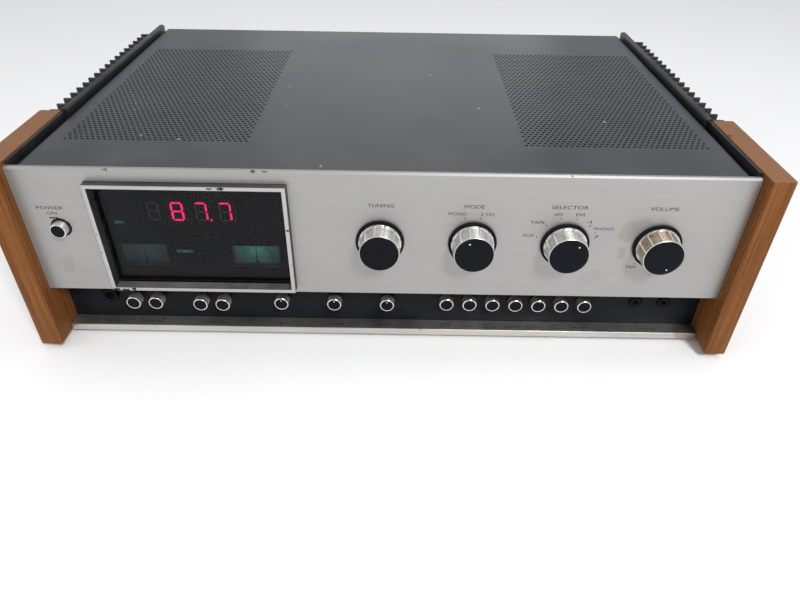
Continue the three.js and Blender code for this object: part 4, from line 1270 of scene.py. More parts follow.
@dataclass
class LargeKnob:
    """Skirted control knob: fluted metal body, black skirt and face."""

    name: str
    pointer: float | None           # pointer dot's angle, clockwise from up, in degrees
    metal: Finish = CHROME
    body_radius: float = 13.3
    floor_radius: float = 12.55     # floor of the pockets between the ribs
    rim: float = 1.7                # plain band at the front
    skirt_face: float = -2.4
    flare: float = 1.08             # the body is wider at the skirt by this share
    ribs: int = 12
    rib_half: float = 0.6
    lobe: tuple[Point, ...] = ((0.0, 0.75), (0.06, 0.2), (0.2, 0.02), (0.4, 0.0), (0.6, 0.0),
                               (0.8, 0.02), (0.94, 0.2))
    lobe_thick: float = 1.1
    dot_reach: float = 9.3
    cad: Extent = field(init=False)

    def __post_init__(self) -> None:
        """Measures the CAD knob."""
        self.cad = Extent.of(f"{self.name}_knob")

    def build(self) -> None:
        """Builds the knob's pieces on its body."""
        c, front = (self.cad.x, self.cad.z), self.cad.d0
        r, floor, back = self.body_radius, self.floor_radius, self.skirt_face
        band = front + self.rim
        wide = floor * self.flare
        barrel = Shape().turned([
            (0, band - 0.2), (floor, band - 0.2), (wide, back + 0.1), (0, back + 0.1)], c,
            segments=96)
        add_piece(f"{self.name}_knob_barrel", barrel, self.metal, self.name,
                  stands_for=[f"{self.name}_knob"])
        rims = Shape()
        rims.turned([
            (0, front + 0.75), (r - 0.5, front + 0.75), (r - 0.2, front + 0.95),
            (r - 0.05, band - 0.3), (r - 0.3, band), (floor - 0.1, band + 0.1), (0, band + 0.1)],
            c, segments=96)
        add_piece(f"{self.name}_knob_rims", rims, CHROME, self.name)
        add_piece(f"{self.name}_knob_lobes", self.lobes(back), CHROME, self.name)
        add_piece(f"{self.name}_knob_ribs", self.ribbing(band, back), CHROME, self.name)
        skirt = Shape().turned([
            (0, back), (15.5, back), (15.95, back + 0.15), (16.2, back + 0.5), (16.2, -0.6),
            (16.0, -0.4), (3.0, -0.4), (3.0, self.cad.d1 - 0.5), (2.5, self.cad.d1),
            (0, self.cad.d1)], c, segments=96)
        add_piece(f"{self.name}_knob_skirt", skirt, SATIN_BLACK, self.name)
        face = Shape().turned([
            (0, front), (r - 5.0, front + 0.02), (r - 2.4, front + 0.08), (r - 1.1, front + 0.2),
            (r - 0.55, front + 0.45), (r - 0.5, front + 0.8), (0, front + 0.8)], c, segments=96)
        add_piece(f"{self.name}_knob_face", face, SATIN_BLACK, self.name)
        if self.pointer is not None:
            turn = math.radians(self.pointer)
            at = (c[0] + self.dot_reach * math.sin(turn), c[1] + self.dot_reach * math.cos(turn))
            dot = Shape().turned([(0, front + 0.01), (0.45, front + 0.02), (0.56, front + 0.1),
                                  (0.56, front + 0.4), (0, front + 0.4)], at, segments=20)
            add_piece(f"{self.name}_knob_dot", dot, DOT_WHITE, self.name)

    def lobes(self, back: float) -> Shape:
        """The scalloped rear rim: a lobe to each pocket and a notch at each rib."""
        wide, step = self.body_radius * self.flare, 2 * math.pi / self.ribs
        outline = []
        for i in range(self.ribs):
            for share, sunk in self.lobe:
                turn = math.radians(15) + (i + share) * step
                outline.append((self.cad.x + (wide - sunk) * math.cos(turn),
                                self.cad.z + (wide - sunk) * math.sin(turn)))
        return Shape().prism(outline, back - self.lobe_thick, back).soften(0.12, 1)

    def ribbing(self, front: float, back: float) -> bpy.types.Mesh:
        """The upright ribs between the pockets."""
        low, high, w = self.floor_radius - 0.5, self.body_radius - 0.05, self.rib_half
        outline = [(-w, low), (w, low), (w * 0.9, high - 0.4), (w * 0.5, high), (-w * 0.5, high),
                   (-w * 0.9, high - 0.4)]
        rib = Shape().prism(outline, front - 0.1, back + 0.1).soften(0.12, 1)
        rib.flare(front, back, self.flare)
        return grown(WHEEL, CHROME, {"Part": rib}, Count=self.ribs,
                     Centre=to_row(self.cad.x, 0.0, self.cad.z), First=math.radians(15))


@dataclass
class SmallCap:
    """Round cap of a push button or small control: knurled side, bright ring, black centre."""

    node: str
    body: str
    pointer: bool = False
    radius: float = 5.3
    ring: float = 1.0
    length: float = 7.7
    knurls: int = 40
    stem: float = 1.8
    cad: Extent = field(init=False)

    def __post_init__(self) -> None:
        """Measures the CAD cap."""
        self.cad = Extent.of(self.node)

    def build(self) -> None:
        """Builds the cap's pieces on its body."""
        c, front, r = (self.cad.x, self.cad.z), self.cad.d0, self.radius
        back = front + self.length
        core = Shape().turned([
            (0, front + 1.2), (r - 0.35, front + 1.2), (r - 0.35, back - 0.3), (r - 0.6, back),
            (self.stem, back), (self.stem, self.cad.d1), (0, self.cad.d1)], c, segments=40)
        add_piece(f"{self.node}_core", core, KNURL_METAL, self.body, stands_for=[self.node])
        ridge = Shape().prism([(-0.26, r - 0.6), (0.26, r - 0.6), (0.0, r - 0.06)], 0.9,
                              self.length - 0.4)
        knurl = grown(WHEEL, KNURL_METAL, {"Part": ridge}, Count=self.knurls,
                      Centre=to_row(c[0], front, c[1]))
        add_piece(f"{self.node}_knurl", knurl, KNURL_METAL, self.body)
        ring = Shape().turned([
            (r - self.ring, front + 0.35), (r - self.ring + 0.15, front + 0.06),
            (r - self.ring + 0.4, front), (r - 0.35, front + 0.02), (r - 0.08, front + 0.25),
            (r - 0.05, front + 1.3), (r - self.ring, front + 1.3),
            (r - self.ring, front + 0.35)], c, segments=56)
        add_piece(f"{self.node}_ring", ring, RING_METAL, self.body)
        disc = Shape().turned([
            (0, front + 0.5), (r - self.ring - 0.6, front + 0.42),
            (r - self.ring - 0.02, front + 0.3), (r - self.ring - 0.02, front + 1.25),
            (0, front + 1.25)], c, segments=40)
        add_piece(f"{self.node}_disc", disc, SATIN_BLACK, self.body)
        if self.pointer:
            at = (c[0], c[1] + 2.6)
            dot = Shape().turned([(0, front + 0.3), (0.4, front + 0.32), (0.45, front + 0.6),
                                  (0, front + 0.6)], at, segments=16)
            add_piece(f"{self.node}_dot", dot, DOT_WHITE, self.body)


@dataclass
class PowerButton:
    """Round push switch on the panel, in its black collar."""

    radius: float = 5.4
    collar: float = 6.6
    knurls: int = 36

    def build(self) -> None:
        """Builds the button and its collar."""
        cad = Extent.of("power_button")
        c, front, r = (cad.x, cad.z), cad.d0, self.radius
        barrel = Shape().turned([
            (0, front + 0.6), (r - 1.0, front + 0.6), (r - 0.9, front + 0.1), (r - 0.6, front),
            (r - 0.2, front + 0.25), (r - 0.12, front + 0.9), (r - 0.12, 5.7), (2.5, 6.0),
            (2.5, cad.d1), (0, cad.d1)], c, segments=64)
        add_piece("power_button_barrel", barrel, CHROME, "power", stands_for=["power_button"])
        ridge = Shape().prism([(-0.28, r - 0.4), (0.28, r - 0.4), (0.0, r - 0.02)], 1.2, 6.0)
        add_piece("power_button_knurl",
                  grown(WHEEL, CHROME, {"Part": ridge}, Count=self.knurls,
                        Centre=to_row(c[0], front, c[1])), CHROME, "power")
        disc = Shape().turned([
            (0, front + 0.3), (r - 1.5, front + 0.22), (r - 1.05, front + 0.3),
            (r - 1.02, front + 0.7), (0, front + 0.7)], c, segments=48)
        add_piece("power_button_disc", disc, SATIN_BLACK, "power")
        collar = Shape().turned([
            (r + 0.12, -0.7), (self.collar - 0.3, -0.7), (self.collar, -0.4),
            (self.collar, 3.0), (r + 0.12, 3.0), (r + 0.12, -0.7)], c, segments=64)
        add_piece("power_button_collar", collar, SATIN_BLACK)


@dataclass
class Recess:
    """Black recess under the panel: jacks, bushes and the printed ledge."""

    ledge: Extent = field(default_factory=lambda: Extent.of("label_ledge"))
    plate: Extent = field(default_factory=lambda: Extent.of("chassis_plate"))
    groups: dict[str, tuple[str, ...]] = field(default_factory=lambda: {
        "PHONES": ("headphone_jack",), "SPEAKERS": ("speaker_a_button", "speaker_b_button"),
        "TAPE MON": ("tape_monitor_1_button", "tape_monitor_2_button"),
        "BASS": ("bass_knob",), "TREBLE": ("treble_knob",), "BALANCE": ("balance_knob",),
        "TONE|FLAT": ("tone_flat_button",), "LOUD": ("loudness_button",),
        "FM 25|FILTER": ("fm_filter_button",), "BLEND": ("blend_button",),
        "SQUELCH": ("squelch_button",), "AUTO|MONO": ("auto_mono_button",),
        "DIMMER": ("dimmer_button",), "DUBBING": ("dub_jacks",)})

    def build(self) -> None:
        """Dresses the plate, and builds the jacks and the ledge with its printing."""
        dress("chassis_plate", BLACK_METAL)
        e = self.ledge
        section = [(e.d0 + 0.25, e.z0), (e.d1, e.z0), (e.d1, e.z1), (e.d0 + 0.7, e.z1),
                   (e.d0 + 0.2, e.z1 - 0.2), (e.d0, e.z1 - 0.7), (e.d0, e.z0 + 0.25)]
        add_piece("ledge", Shape().prism(section, e.x0, e.x1, Axis.ACROSS).soften(0.08, 1, 20.0),
                  LEDGE_METAL, stands_for=["label_ledge"])
        add_piece("ledge_lettering", lettering(self.words(), level=e.z1), INK)
        self.jack("headphone_jack", (Extent.of("headphone_jack").x,), 3.3, 6.2)
        twin = Extent.of("dub_jacks")
        self.jack("dub_jacks", (twin.x0 + 6.3, twin.x1 - 6.3), 1.8, 4.8)

    def words(self) -> list[Label]:
        """The words on the ledge, one or two lines under each control."""
        labels = []
        for text, nodes in self.groups.items():
            ends = [Extent.of(n) for n in nodes]
            x = (ends[0].x0 + ends[-1].x1) / 2
            lines = text.split("|")
            for i, line in enumerate(lines):
                back = self.ledge.d0 + (4.6 if len(lines) == 1 else 6.6 - i * 3.0)
                labels.append(Label(line, x, back, 2.0))
            if len(nodes) > 1:
                for number, end in zip("12" if "TAPE" in text else "AB", ends):
                    labels.append(Label(number, end.x, self.ledge.d0 + 8.4, 1.9))
        return labels

    def jack(self, node: str, middles: Sequence[float], bore: float, nut: float) -> None:
        """Panel jacks with a ring nut and a dark bore.

        Args:
            node: the CAD node they replace.
            middles: place across of each bore.
            bore: radius of the hole.
            nut: radius of the ring nut.
        """
        cad = Extent.of(node)
        rings, bodies = Shape(), Shape()
        plate = self.plate.d0
        for x in middles:
            rings.turned([
                (bore, cad.d0 + 0.3), (bore + 0.35, cad.d0), (nut - 0.7, cad.d0),
                (nut - 0.15, cad.d0 + 0.35), (nut, cad.d0 + 0.9), (nut, plate - 0.3),
                (bore, plate - 0.3), (bore, cad.d0 + 0.3)], (x, cad.z), segments=48)
            bodies.turned([
                (bore, plate - 0.25), (4.6, plate - 0.25), (4.6, plate + 1.9),
                (nut + 1.4, plate + 2.0), (nut + 1.4, cad.d1), (0, cad.d1),
                (0, cad.d1 - 2), (bore, cad.d1 - 2), (bore, plate - 0.25)], (x, cad.z),
                segments=32)
        add_piece(f"{node}_nuts", rings, SATIN_BLACK, stands_for=[node])
        add_piece(f"{node}_bodies", bodies, PLASTIC)


@dataclass
class Cheek:
    """Solid oak end board with eased edges."""

    node: str
    corner: float = 2.2
    corner_steps: int = 6
    ease: float = 1.0
    foot_ease: float = 3.0

    def build(self) -> None:
        """Builds the board: a plan with round outer corners, its top and foot eased."""
        e = Extent.of(self.node)
        side = 1 if e.x > 0 else -1
        inner, outer = (e.x0, e.x1) if side > 0 else (e.x1, e.x0)
        r, small = self.corner, 0.8
        plan = [(inner, e.d0 + small), (inner + side * small, e.d0)]
        for u, v in arc((0, 0), r, 0, 90, self.corner_steps):
            plan.append((outer - side * (r - v), e.d0 + r - u))
        for u, v in arc((0, 0), r, 0, 90, self.corner_steps):
            plan.append((outer - side * (r - u), e.d1 - r + v))
        plan += [(inner + side * small, e.d1), (inner, e.d1 - small)]
        board = Shape().prism(plan, e.z0, e.z1, Axis.UP)
        bmesh.ops.recalc_face_normals(board.bm, faces=board.bm.faces)
        for level, width in ((e.z1, self.ease), (e.z0, self.foot_ease)):
            edges = [edge for edge in board.bm.edges
                     if all(abs(v.co.z - level) < 1e-4 for v in edge.verts)]
            bmesh.ops.bevel(board.bm, geom=edges, offset=width, segments=4, profile=0.5,
                            affect="EDGES", clamp_overlap=True)
        add_piece(f"{self.node}_board", board, OAK, stands_for=[self.node])


@dataclass
class HeatSink:
    """Black finned heat sink along one side, with its raised rail."""

    node: str
    fins: int = 18
    fin_pitch: float = 11.9
    fin_first: float = 91.0
    fin_thick: float = 3.2
    fin_drop: float = 2.6
    rail_thick: float = 5.7
    rail_in: float = 232.8          # inner face of the base plate
    rail_start: float = 88.6        # just behind the cheek
    tongue: tuple[float, float, float] = (4.0, 1.95, 0.6)   # front, thickness, drop from the top

    def build(self) -> None:
        """Builds the rail with its tongue, and the fins."""
        e = Extent.of(self.node)
        side = 1 if e.x > 0 else -1
        inner, start = self.rail_in * side, self.rail_start
        r = self.rail_thick / 2
        section = [(inner, e.z0), (inner + side * self.rail_thick, e.z0)]
        section += [(inner + side * (self.rail_thick - 2 + u), e.z1 - 2 + v)
                    for u, v in arc((0, 0), 2, 0, 90)]
        section += [(inner + side * (2 - v), e.z1 - 2 + u) for u, v in arc((0, 0), 2, 0, 90)]
        rail = Shape().prism(section, start, e.d1).soften(r * 0.3, 3, 60.0)
        front, thick, drop = self.tongue
        x_in = inner + side * 2.4
        cheek_top = Extent.of("right_cheek").z1
        tongue = Shape().slab(*sorted((x_in, x_in + side * thick)), front, start + 2, 52,
                              cheek_top - drop).soften(0.25)
        add_piece(f"{self.node}_rail", rail.join(tongue), SINK, stands_for=[self.node])
        outer = e.x1 if side > 0 else e.x0
        w0, w1 = self.fin_thick / 2, self.fin_thick / 2 - 0.45
        base = inner + side * (self.rail_thick - 0.6)
        plan = [(base, -w0), (outer - side * 0.8, -w1), (outer, -w1 + 0.8), (outer, w1 - 0.8),
                (outer - side * 0.8, w1), (base, w0)]
        fin = Shape().prism(plan, e.z0, e.z1 - self.fin_drop, Axis.UP).soften(0.3, 1, 50.0)
        first = self.fin_first + self.fin_thick / 2
        grid = grown(ROW, SINK, {"Part": fin}, Count=self.fins, Start=to_row(0, first, 0),
                     Step=Vector((0.0, self.fin_pitch * MM, 0.0)))
        add_piece(f"{self.node}_fins", grid, SINK)


@dataclass
class TopCover:
    """Folded sheet-metal cover with two perforated fields."""

    sheet: float = 1.2
    bend: float = 4.0
    pitch: float = 3.85
    row_pitch: float = 3.8
    hole: float = 1.16
    columns: int = 33
    row_pairs: int = 27
    field_middles: tuple[float, float] = (-155.75, 157.55)
    field_depth: float = 147.9
    recess: float = 22.0            # depth of the recess under the panel
    recess_top: float = 50.7

    def build(self) -> None:
        """Builds the folded sheet and its two perforated fields."""
        e = Extent.of("top_cover")
        half_x = self.columns * self.pitch / 2
        half_d = (2 * self.row_pairs + 1) * self.row_pitch / 2
        openings = [(m - half_x, m + half_x) for m in self.field_middles]
        rows = (self.field_depth - half_d, self.field_depth + half_d)
        add_piece("cover_sheet", self.folded(e, openings, rows), COVER, stands_for=["top_cover"])
        for side, middle in zip(("left", "right"), self.field_middles):
            add_piece(f"cover_{side}_field", self.perforated(middle, e.z1), COVER)

    def perforated(self, middle: float, top: float) -> bpy.types.Mesh:
        """One field of staggered holes."""
        h, v, r = self.pitch / 2, self.row_pitch / 2, self.hole
        cell = Shape()
        for side in (1, -1):
            rim = [(side * r * math.cos(a), r * math.sin(a))
                   for a in (math.radians(90 - 45 * i) for i in range(5))]
            outline = [(0, -v), (side * h, -v), (side * h, v), (0, v)] + rim
            flat = outline if side > 0 else outline[::-1]
            cell.bm.faces.new([cell.bm.verts.new((x, y, 0)) for x, y in flat])
        filler = Shape()
        corners = [(-h / 2, -v), (h / 2, -v), (h / 2, v), (-h / 2, v)]
        filler.bm.faces.new([filler.bm.verts.new((x, y, 0)) for x, y in corners])
        return grown(
            PERFORATION, COVER, {"Part": cell, "Filler": filler}, Columns=self.columns,
            Row_Pairs=self.row_pairs, Pitch_Across=self.pitch * MM,
            Pitch_Back=self.row_pitch * MM, Middle=to_row(middle, self.field_depth, top),
            Thickness=self.sheet * MM)

    def folded(self, e: Extent, openings: Sequence[Point], rows: Point) -> Shape:
        """The sheet with its folded sides, open where the fields go.

        Args:
            e: the cover's limits.
            openings: both ends across of each opening.
            rows: both ends of the openings in depth.

        Returns:
            A closed shape.
        """
        shape = Shape()
        cuts = sorted(x for pair in openings for x in pair)
        t, r, steps = self.sheet, self.bend, 6
        walls = []
        for inset in (0.0, t):
            rr, x1, z1 = r - inset, e.x1 - inset, e.z1 - inset
            right = [(x1 - rr + u, z1 - rr + v) for u, v in arc((0, 0), rr, 0, 90, steps)]
            left = [(-x, z) for x, z in reversed(right)]
            flat = [(x, z1) for x in reversed(cuts)]
            walls.append([(x1, e.z0), (x1, self.recess_top), *right, *flat, *left,
                          (-x1, self.recess_top), (-x1, e.z0)])
        depths = [e.d0, self.recess, rows[0], rows[1], e.d1]
        count = len(walls[0])
        grid = [[[shape.bm.verts.new((x, d, z)) for x, z in wall] for d in depths]
                for wall in walls]
        open_from = {i for i in range(count - 1)
                     if any(abs(walls[0][i][0] - hi) < 1e-6 and abs(walls[0][i + 1][0] - lo) < 1e-6
                            for lo, hi in openings)}
        last = len(depths) - 1

        def bridge(*corners: tuple[int, int]) -> None:
            """A strip of edge wall between the outer and inner skins."""
            (r0, i0), (r1, i1) = corners
            shape.bm.faces.new((grid[0][r0][i0], grid[0][r1][i1],
                                grid[1][r1][i1], grid[1][r0][i0]))

        for row in range(last):
            low = 1 if row == 0 else 0          # the sides start higher beside the recess
            for i in range(low, count - 1 - low):
                if row == 2 and i in open_from:
                    for start, end in (((row, i), (row, i + 1)), ((row, i + 1), (row + 1, i + 1)),
                                       ((row + 1, i + 1), (row + 1, i)), ((row + 1, i), (row, i))):
                        bridge(start, end)
                    continue
                for wall in grid:
                    a, b = wall[row], wall[row + 1]
                    shape.bm.faces.new((a[i], a[i + 1], b[i + 1], b[i]))
            bridge((row, low), (row + 1, low))
            bridge((row, count - 1 - low), (row + 1, count - 1 - low))
        for i in range(1, count - 2):
            bridge((0, i), (0, i + 1))
        for i in (0, count - 2):
            bridge((1, i), (1, i + 1))
        for i in range(count - 1):
            bridge((last, i), (last, i + 1))
        return shape


@dataclass
class Rear:
    """Rear panel with its connectors, printing and screws."""

    terminals: tuple[int, ...] = (-150, -130, -110, -90)
    aerials: tuple[int, ...] = (130, 150, 170, 190)
    jack_columns: tuple[int, ...] = (73, 93, 113, 133, 153, 173, 193)
    jack_rows: Point = (40, 60)
    panel: Extent = field(default_factory=lambda: Extent.of("rear_panel"))

    def build(self) -> None:
        """Dresses the panel and builds what is on it."""
        dress("rear_panel", BLACK_METAL)
        face = self.panel.d1
        self.speakers(Extent.of("speaker_terminals"))
        self.jacks(Extent.of("input_jacks"), face)
        self.aerial(Extent.of("aerial_terminals"), face)
        self.gland(Extent.of("cord_gland"), face)
        words = [Label("SPEAKERS", -120, 78, 2.6, 22, True), Label("A", -138, 24, 2.4, 2.4, True),
                 Label("B", -98, 24, 2.4, 2.4, True), Label("AERIAL", 160, 126, 2.6, 16, True),
                 Label("AM", 135, 88, 2.2, 5, True), Label("FM 300", 180, 88, 2.2, 13, True),
                 Label("FUSE", -205, 66, 2.4, 10, True), Label("MAINS", -205, 24, 2.4, 12, True),
                 Label("PRE OUT", 73, 24, 2.2, 13, True)]
        for i, text in enumerate(("MAIN IN", "TAPE 1", "TAPE 2", "AUX", "PHONO 1", "PHONO 2")):
            words.append(Label(text, 93 + i * 20, 24, 2.2, min(14.0, 2.1 * len(text)), True))
        for text, z in (("L", 60), ("R", 40)):
            words.append(Label(text, 54, z, 2.4, 1.9, True))
        add_piece("rear_lettering", lettering(words, depth=face + 0.02), PALE_INK)
        places = [(x, face, z) for z in (128, 20) for x in (-222, -110, 0, 110, 222)]
        places += [(x, face, z) for x in (-222, 222) for z in (74,)]
        add_piece("rear_screws", grown(SCATTER, STEEL, {"Part": screw(1)}, places), STEEL)
        fuse = Shape().turned([
            (0, face + 9.0), (3.0, face + 9.0), (4.6, face + 8.6), (5.2, face + 7.8),
            (5.2, face + 2.2), (6.6, face + 2.0), (6.8, face + 1.6), (6.8, face), (0, face)],
            (-205, 58), segments=40)
        slot = Shape().slab(-208.6, -201.4, face + 8.7, face + 9.3, 57.5, 58.5).soften(0.1, 1)
        add_piece("fuse_holder", fuse, PLASTIC)
        add_piece("fuse_slot", slot, STEEL)

    def speakers(self, e: Extent) -> None:
        """Push terminals: a flanged block, eight levers in two colours and their wire holes."""
        plate = Shape().slab(e.x0, e.x1, self.panel.d1 + 0.3, self.panel.d1 + 2.3, e.z0, e.z1)
        block = Shape().slab(e.x0 + 4, e.x1 - 4, e.d0, self.panel.d1 + 4.0, e.z0 + 4, e.z1 - 4)
        add_piece("speaker_block", plate.soften(0.6).join(block.soften(0.5)), PLASTIC,
                  stands_for=["speaker_terminals"])
        base = self.panel.d1 + 4.4
        for row, z, nose, finish in ((1, 40.5, -5.2, PLASTIC), (2, 58.5, -4.4, RED_CAP)):
            lever = Shape().prism([(nose, 0), (-3.6, -3.6), (0.0, -4.4), (7.0, -4.4), (7.6, 3.6),
                                   (2.0, 4.6), (nose, 4.6)], -3.8, 3.8, Axis.ACROSS)
            places = [(x, base, z) for x in self.terminals]
            mesh = grown(SCATTER, finish, {"Part": lever.soften(0.5, 2)}, places)
            add_piece(f"speaker_levers_{row}", mesh, finish)
        hole = Shape().turned([(1.4, 4.3), (2.0, 4.5), (2.0, 3.2), (1.4, 3.2), (1.4, 4.3)],
                              segments=20)
        places = [(x, self.panel.d1, z) for x in self.terminals for z in (33.6, 51.6)]
        add_piece("speaker_wire_rings", grown(SCATTER, BRASS, {"Part": hole}, places), BRASS)

    def jacks(self, e: Extent, face: float) -> None:
        """Fourteen phono sockets in two rows on one plate."""
        plate = Shape().slab(e.x0, e.x1, face + 0.3, face + 2.0, e.z0, e.z1).soften(0.4)
        back = Shape().slab(e.x0 + 4, e.x1 - 4, e.d0, face + 0.5, e.z0 + 4, e.z1 - 4)
        add_piece("jack_plate", plate.join(back), PLASTIC, stands_for=["input_jacks"])
        tip = e.d1 - face
        shell = Shape().turned([
            (2.6, tip), (3.6, tip), (3.9, tip - 0.4), (4.15, tip - 0.6), (4.15, 3.0), (4.6, 2.9),
            (4.6, 1.5), (2.6, 1.5), (2.6, tip)], segments=28)
        low, high = self.jack_rows
        places = [(x, face, z) for x in self.jack_columns for z in (low, high)]
        add_piece("jack_shells", grown(SCATTER, STEEL, {"Part": shell}, places), STEEL)
        for name, z, finish in (("right", low, RED_CAP), ("left", high, PALE_INK)):
            heart = Shape().turned([
                (0.9, tip - 0.3), (2.55, tip - 0.3), (2.55, 2.0), (0.9, 2.0), (0.9, tip - 0.3)],
                segments=20)
            row = [(x, face, z) for x in self.jack_columns]
            add_piece(f"jack_hearts_{name}", grown(SCATTER, finish, {"Part": heart}, row), finish)

    def aerial(self, e: Extent, face: float) -> None:
        """Four screw terminals on a strip."""
        strip = Shape().slab(e.x0, e.x1, face + 0.3, face + 2.3, e.z0, e.z1).soften(0.5)
        back = Shape().slab(e.x0 + 4, e.x1 - 4, e.d0, face + 0.5, e.z0 + 4, e.z1 - 4)
        add_piece("aerial_strip", strip.join(back), PLASTIC, stands_for=["aerial_terminals"])
        places = [(x, face + 2.2, 106) for x in self.aerials]
        add_piece("aerial_screws",
                  grown(SCATTER, BRASS, {"Part": screw(1, 3.9, 3.0)}, places), BRASS)

    def gland(self, e: Extent, face: float) -> None:
        """Strain-relief bush where the mains lead would enter."""
        ribs: list[Point] = []
        reach = e.d1 - face
        step = (reach - 3.0) / 5
        for i in range(5):
            a, r = 2.6 + i * step, 8.6 - i * 0.35
            ribs += [(r, a), (r, a + step * 0.55), (r - 0.9, a + step * 0.62),
                     (r - 0.9, a + step * 0.95)]
        profile = [(3.8, -8.0), (6.0, -8.0), (6.0, 0.3), (9.0, 0.3), (9.0, 2.2), *ribs,
                   (6.6, reach - 0.2), (6.0, reach), (3.8, reach), (3.8, -8.0)]
        shape = Shape().turned([(r, face + d) for r, d in profile], (e.x, e.z), segments=40)
        add_piece("cord_bush", shape, RUBBER, stands_for=["cord_gland"])


def screw(side: int, radius: float = 3.0, height: float = 1.9) -> Shape:
    """A cross-head screw on a wall, its head towards the rear (side 1) or the front (-1)."""
    s, r, h = side, radius, height
    head = Shape().turned([
        (0, s * (h - 0.5)), (r * 0.34, s * (h - 0.5)), (r * 0.36, s * h), (r * 0.6, s * h * 0.97),
        (r * 0.85, s * h * 0.75), (r * 0.98, s * h * 0.4), (r, 0), (0, 0)], segments=24)
    for turn in (0, 1):
        u, v = (r * 0.62, r * 0.14) if turn else (r * 0.14, r * 0.62)
        head.slab(-u, u, *sorted((s * (h - 0.75), s * (h - 0.42))), -v, v)
    return head


@dataclass
class Underside:
    """Chassis pan with ventilation slots, bottom screws and rubber feet."""

    louvre_columns: tuple[float, ...] = (-150.0, -75.0, 75.0, 150.0)
    louvre_rows: int = 9
    louvre_pitch: float = 14.0
    feet: tuple[str, ...] = ("front_left_foot", "front_right_foot", "rear_left_foot",
                             "rear_right_foot")

    def build(self) -> None:
        """Dresses the pan, and builds the feet, louvres and screws."""
        dress("chassis_pan", STEEL)
        pan = Extent.of("chassis_pan")
        for foot in self.feet:
            self.foot(foot)
        slots = Shape()
        for x in self.louvre_columns:
            slots.prism([(x - 26, -1.6), (x + 26, -1.6), (x + 27.4, 0), (x + 26, 1.6),
                         (x - 26, 1.6), (x - 27.4, 0)], pan.z0 - 0.9, pan.z0 + 0.1, Axis.UP)
        louvres = grown(ROW, STEEL, {"Part": slots.soften(0.5, 2)}, Count=self.louvre_rows,
                        Start=to_row(0, 120, 0), Step=Vector((0, self.louvre_pitch * MM, 0)))
        add_piece("pan_louvres", louvres, STEEL)
        head = Shape().turned([
            (0, -1.1), (0.9, -1.1), (1.0, -1.6), (2.0, -1.5), (2.7, -1.0), (3.0, 0), (0, 0)],
            axis=Axis.UP, segments=20)
        spots = [(x, d, pan.z0) for x in (-215, 0, 215) for d in (34, 160, 300)]
        spots += [(x, d, pan.z0) for x in (-166, -74) for d in (190, 240)]
        add_piece("pan_screws", grown(SCATTER, STEEL, {"Part": head}, spots), STEEL)

    def foot(self, node: str) -> None:
        """A turned rubber foot with a screw up its middle."""
        e = Extent.of(node)
        r = (e.x1 - e.x0) / 2
        middle = (e.x, (e.d0 + e.d1) / 2)
        shape = Shape().turned([
            (0, 4.0), (2.9, 4.0), (3.0, 0.6), (3.4, 0.1), (r - 2.6, 0.0), (r - 2.1, 0.25),
            (r - 1.9, 0.8), (r - 0.6, e.z1 - 1.6), (r - 0.1, e.z1 - 0.8), (r, e.z1 - 0.4),
            (r - 0.1, e.z1), (0, e.z1)], middle, Axis.UP, 40)
        add_piece(f"{node}_rubber", shape, RUBBER, stands_for=[node])
        head = Shape().turned([(0, 3.0), (1.2, 2.9), (2.5, 3.3), (2.85, 4.02), (0, 4.02)], middle,
                              Axis.UP, 24)
        add_piece(f"{node}_screw", head, STEEL)


@dataclass
class Insides:
    """What shows faintly through the perforations and the window: carried over as it is."""

    finishes: dict[str, Finish] = field(default_factory=lambda: {
        "mode_switch": STEEL, "selector_switch": STEEL, "volume_control": STEEL,
        "power_switch": PLASTIC, "control_board": BOARD, "main_board": BOARD,
        "power_transformer": STEEL, "left_filter_capacitor": SLEEVE,
        "right_filter_capacitor": SLEEVE, "tuning_capacitor": STEEL, "capacitor_rotor": STEEL,
        "tuning_flywheel": STEEL, "tuning_belt": BELT})

    def build(self) -> None:
        """Dresses each node."""
        for node, finish in self.finishes.items():
            dress(node, finish)


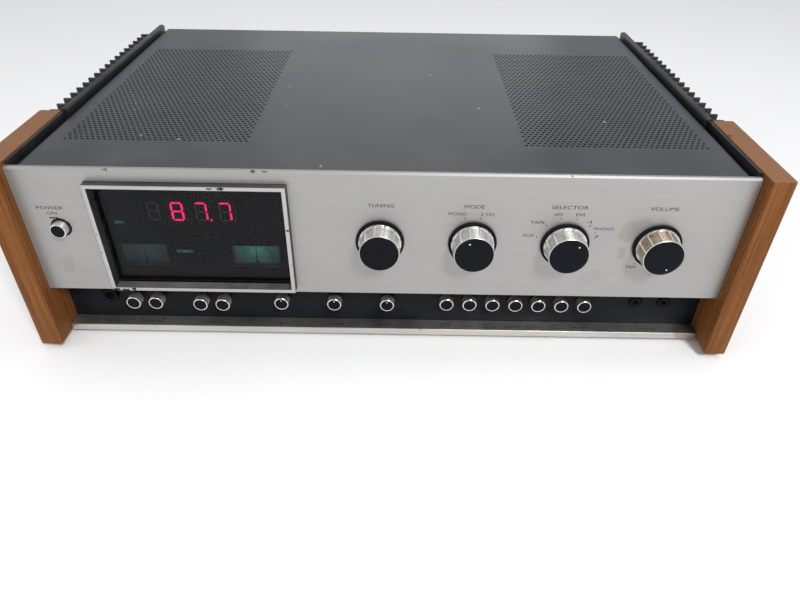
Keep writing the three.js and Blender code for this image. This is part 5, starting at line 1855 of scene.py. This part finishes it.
@dataclass
class Studio:
    """Camera, floor and soft light."""

    lens: float = 28.657
    place: Place = (0.01119, -0.52217, 0.32031)
    pitch: float = 37.318
    yaw: float = 0.077
    roll: float = 0.948
    floor_half: float = 9.0
    world: float = 0.50

    def build(self) -> None:
        """Sets up the camera, the floor and the lights."""
        self.camera()
        self.floor()
        self.lights()
        bpy.context.scene.view_settings.view_transform = "Standard"

    def camera(self) -> None:
        """The camera, aimed by pitch, yaw and roll."""
        data = bpy.data.cameras.new("camera")
        data.lens, data.sensor_width = self.lens, 36.0
        camera = bpy.data.objects.new("camera", data)
        bpy.context.scene.collection.objects.link(camera)
        pitch, yaw, roll = (math.radians(a) for a in (self.pitch, self.yaw, self.roll))
        ahead = Vector((math.sin(yaw) * math.cos(pitch), math.cos(yaw) * math.cos(pitch),
                        -math.sin(pitch)))
        right = Vector((math.cos(yaw), -math.sin(yaw), 0.0))
        up = right.cross(ahead)
        side = math.cos(roll) * right + math.sin(roll) * up
        top = -math.sin(roll) * right + math.cos(roll) * up
        turn = Matrix((side, top, -ahead)).transposed().to_4x4()
        camera.matrix_world = Matrix.Translation(self.place) @ turn
        bpy.context.scene.camera = camera

    def floor(self) -> None:
        """A plain pale floor."""
        half = self.floor_half
        mesh = bpy.data.meshes.new("floor")
        mesh.from_pydata([(-half, -half, 0), (half, -half, 0), (half, half, 0), (-half, half, 0)],
                         [], [(0, 1, 2, 3)])
        floor = bpy.data.objects.new("floor", mesh)
        bpy.context.scene.collection.objects.link(floor)
        made = bpy.data.materials.new("floor_white")
        made.use_nodes = True
        shader = made.node_tree.nodes["Principled BSDF"]
        shader.inputs["Base Color"].default_value = (0.90, 0.90, 0.90, 1.0)
        shader.inputs["Roughness"].default_value = 0.9
        shader.inputs["Specular IOR Level"].default_value = 0.2
        mesh.materials.append(made)

    def lights(self) -> None:
        """An even white surround and four soft panels."""
        world = bpy.data.worlds.new("surround")
        bpy.context.scene.world = world
        world.use_nodes = True
        back = world.node_tree.nodes["Background"]
        back.inputs["Color"].default_value = (0.97, 0.98, 1.0, 1.0)
        back.inputs["Strength"].default_value = self.world
        for name, place, size, power in (("key", (0.6, -1.35, 1.35), 0.36, 26.0),
                                         ("fill", (-1.5, -0.9, 0.9), 1.3, 6.0),
                                         ("overhead", (0.1, 0.1, 2.2), 2.4, 12.0),
                                         ("back", (0.0, 2.6, 0.85), 1.4, 2.2)):
            data = bpy.data.lights.new(name, "AREA")
            data.shape, data.size, data.energy = "SQUARE", size, power
            light = bpy.data.objects.new(name, data)
            bpy.context.scene.collection.objects.link(light)
            aim = (Vector((0.0, -0.1, 0.05)) - Vector(place)).to_track_quat("-Z", "Y")
            light.matrix_world = Matrix.Translation(place) @ aim.to_matrix().to_4x4()


BUTTONS = ("speaker_a", "speaker_b", "tape_monitor_1", "tape_monitor_2", "tone_flat", "loudness",
           "fm_filter", "blend", "squelch", "auto_mono", "dimmer")


def build() -> None:
    """Builds the whole set, sub-assembly by sub-assembly."""
    Studio().build()
    Insides().build()
    Panel().build()
    DisplayWindow().build()
    for name, pointer, metal in (("tuning", None, CHROME), ("mode", -22.0, CHROME),
                                 ("selector", 35.0, CHROME), ("volume", 157.0, GRIMY)):
        LargeKnob(name, pointer, metal).build()
    PowerButton().build()
    for name in BUTTONS:
        SmallCap(f"{name}_button", f"{name}_button").build()
    for name in ("bass", "treble", "balance"):
        SmallCap(f"{name}_knob", name, pointer=True).build()
    Recess().build()
    for side in ("left", "right"):
        Cheek(f"{side}_cheek").build()
        HeatSink(f"{side}_heatsink").build()
    TopCover().build()
    Rear().build()
    Underside().build()


def main() -> None:
    """Builds the set."""
    logging.basicConfig(level=logging.INFO, format="%(name)s: %(message)s")
    build()


if __name__ == "__main__":
    main()
